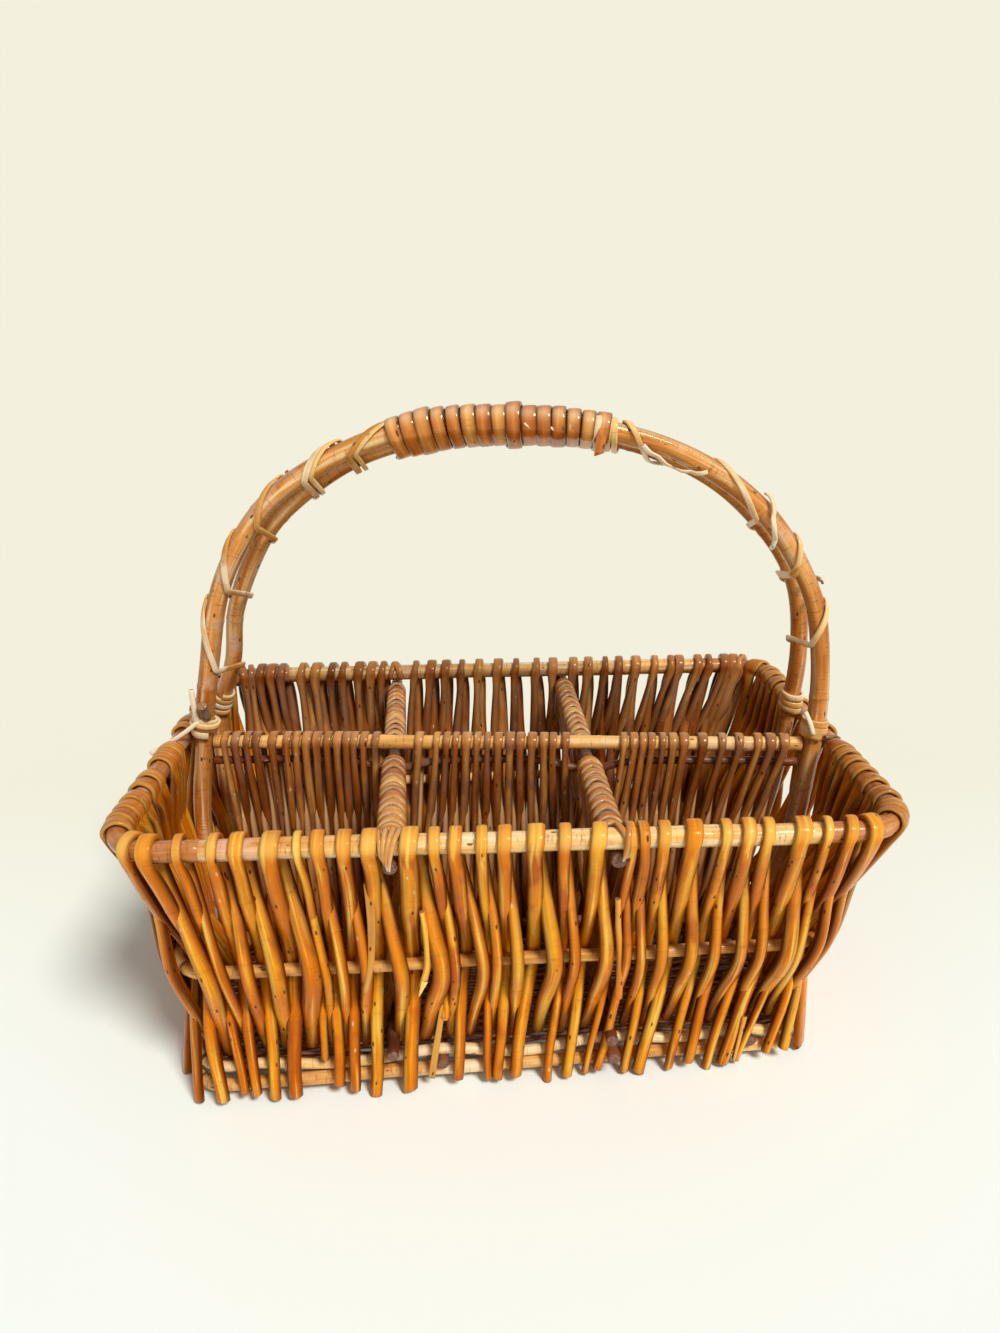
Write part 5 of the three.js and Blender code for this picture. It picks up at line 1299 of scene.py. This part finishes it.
for i, (x, rib_out) in enumerate(zip(RIB_PLACES, RIB_OUT)):
    y0, y1 = -floor_width / 2 - LOWER_ROD / 2 - rib_out, floor_width / 2 + 2
    rod_piece("rib_%d" % (i + 1), BROWN, "brown_willow", "floor_rib_%d" % (i + 1),
              [on_floor(x, y, RIB_Z) for y in between(y0, y1, 7)], RIB_ROD, uneven=0.06, dark=0.2)
floor_weavers()

# Floor and backdrop: the near floor is a little paler than the far one, which fades into the wall.
# Distances are metres from a line half a metre in front of the basket's middle
NEAR_TONE, FAR_TONE = colour(249, 254, 246), colour(243, 240, 221)
TONE_LINE, TONE_START, TONE_END = 0.5, 0.34, 0.8
FLOOR_REACH = 40.0


def pale_floor():
    material = bpy.data.materials.new("studio_floor")
    n = Nodes(material)
    y = n.parts(n.new("TexCoord").outputs["Object"])[1]
    away = n.maths("ABSOLUTE", n.plus(y, TONE_LINE))
    tone = n.mix(n.span(away, TONE_START, TONE_END), NEAR_TONE, FAR_TONE)
    n.new("OutputMaterial", {0: n.out("BsdfDiffuse", {"Color": tone})})
    return material


mesh = bpy.data.meshes.new("studio_floor")
corners = [(-1, -1), (1, -1), (1, 1), (-1, 1)]
mesh.from_pydata([(x * FLOOR_REACH, y * FLOOR_REACH, 0) for x, y in corners], [], [(0, 1, 2, 3)])
mesh.materials.append(pale_floor())
ground = bpy.data.objects.new("studio_floor", mesh)
bpy.context.scene.collection.objects.link(ground)

# Light: an even world and one soft sun, together a plain level on a flat floor
WORLD_LEVEL = 0.32
SUN_TOWARDS, SUN_SPREAD = unit((0.5, -0.7, 1.0)), 16
SUN_LEVEL = (1 - WORLD_LEVEL) * math.pi / SUN_TOWARDS[2]


# The camera and mirrored rays see the pale backdrop, and the rest gets the plain light
def studio_world():
    world = bpy.data.worlds.new("studio")
    n = Nodes(world)
    light = n.out("Background", {0: (1, 1, 1, 1), 1: WORLD_LEVEL})
    seen = n.out("Background", {0: FAR_TONE, 1: 1.0})
    path = n.new("LightPath").outputs
    sees = path["Is Camera Ray"]
    for kind in ("Is Glossy Ray", "Is Transmission Ray"):
        sees = n.maths("MAXIMUM", sees, path[kind])
    n.new("OutputWorld", {0: n.out("MixShader", {0: sees, 1: light, 2: seen})})
    return world


def frame_of(x, y, z, at=(0, 0, 0)):
    return Matrix([[x[i], y[i], z[i], at[i]] for i in range(3)] + [[0, 0, 0, 1]])


bpy.context.scene.world = studio_world()
lamp = bpy.data.lights.new("key", "SUN")
lamp.energy = SUN_LEVEL
lamp.angle = math.radians(SUN_SPREAD)
key = bpy.data.objects.new("key", lamp)
beside_sun = unit(np.cross([0, 1, 0.1], SUN_TOWARDS))
key.matrix_world = frame_of(beside_sun, np.cross(SUN_TOWARDS, beside_sun), SUN_TOWARDS)
bpy.context.scene.collection.objects.link(key)

# Camera solved from the photo's corners: 900 pixels of focal length on 1333 of height
CAMERA_AT = (-0.01987, -0.49885, 0.38755)
PITCH, ROLL, YAW = -0.346, -0.009, -0.038
FOCAL, PHOTO_HEIGHT, SENSOR = 900, 1333, 36


def camera_axes():
    cx, sx, cy, sy = math.cos(PITCH), math.sin(PITCH), math.cos(ROLL), math.sin(ROLL)
    cz, sz = math.cos(YAW), math.sin(YAW)
    yaw = np.array([[cz, -sz, 0], [sz, cz, 0], [0, 0, 1]])
    pitch = np.array([[1, 0, 0], [0, cx, -sx], [0, sx, cx]])
    right, forward, up = (yaw @ pitch).T
    return right * cy + up * sy, -right * sy + up * cy, -forward


data = bpy.data.cameras.new("camera")
data.sensor_fit = "AUTO"
data.sensor_width = SENSOR
data.lens = FOCAL / PHOTO_HEIGHT * SENSOR
data.clip_start = 0.01
camera = bpy.data.objects.new("camera", data)
camera.matrix_world = frame_of(*camera_axes(), CAMERA_AT)
bpy.context.scene.collection.objects.link(camera)
bpy.context.scene.camera = camera
bpy.context.scene.view_settings.view_transform = "Standard"
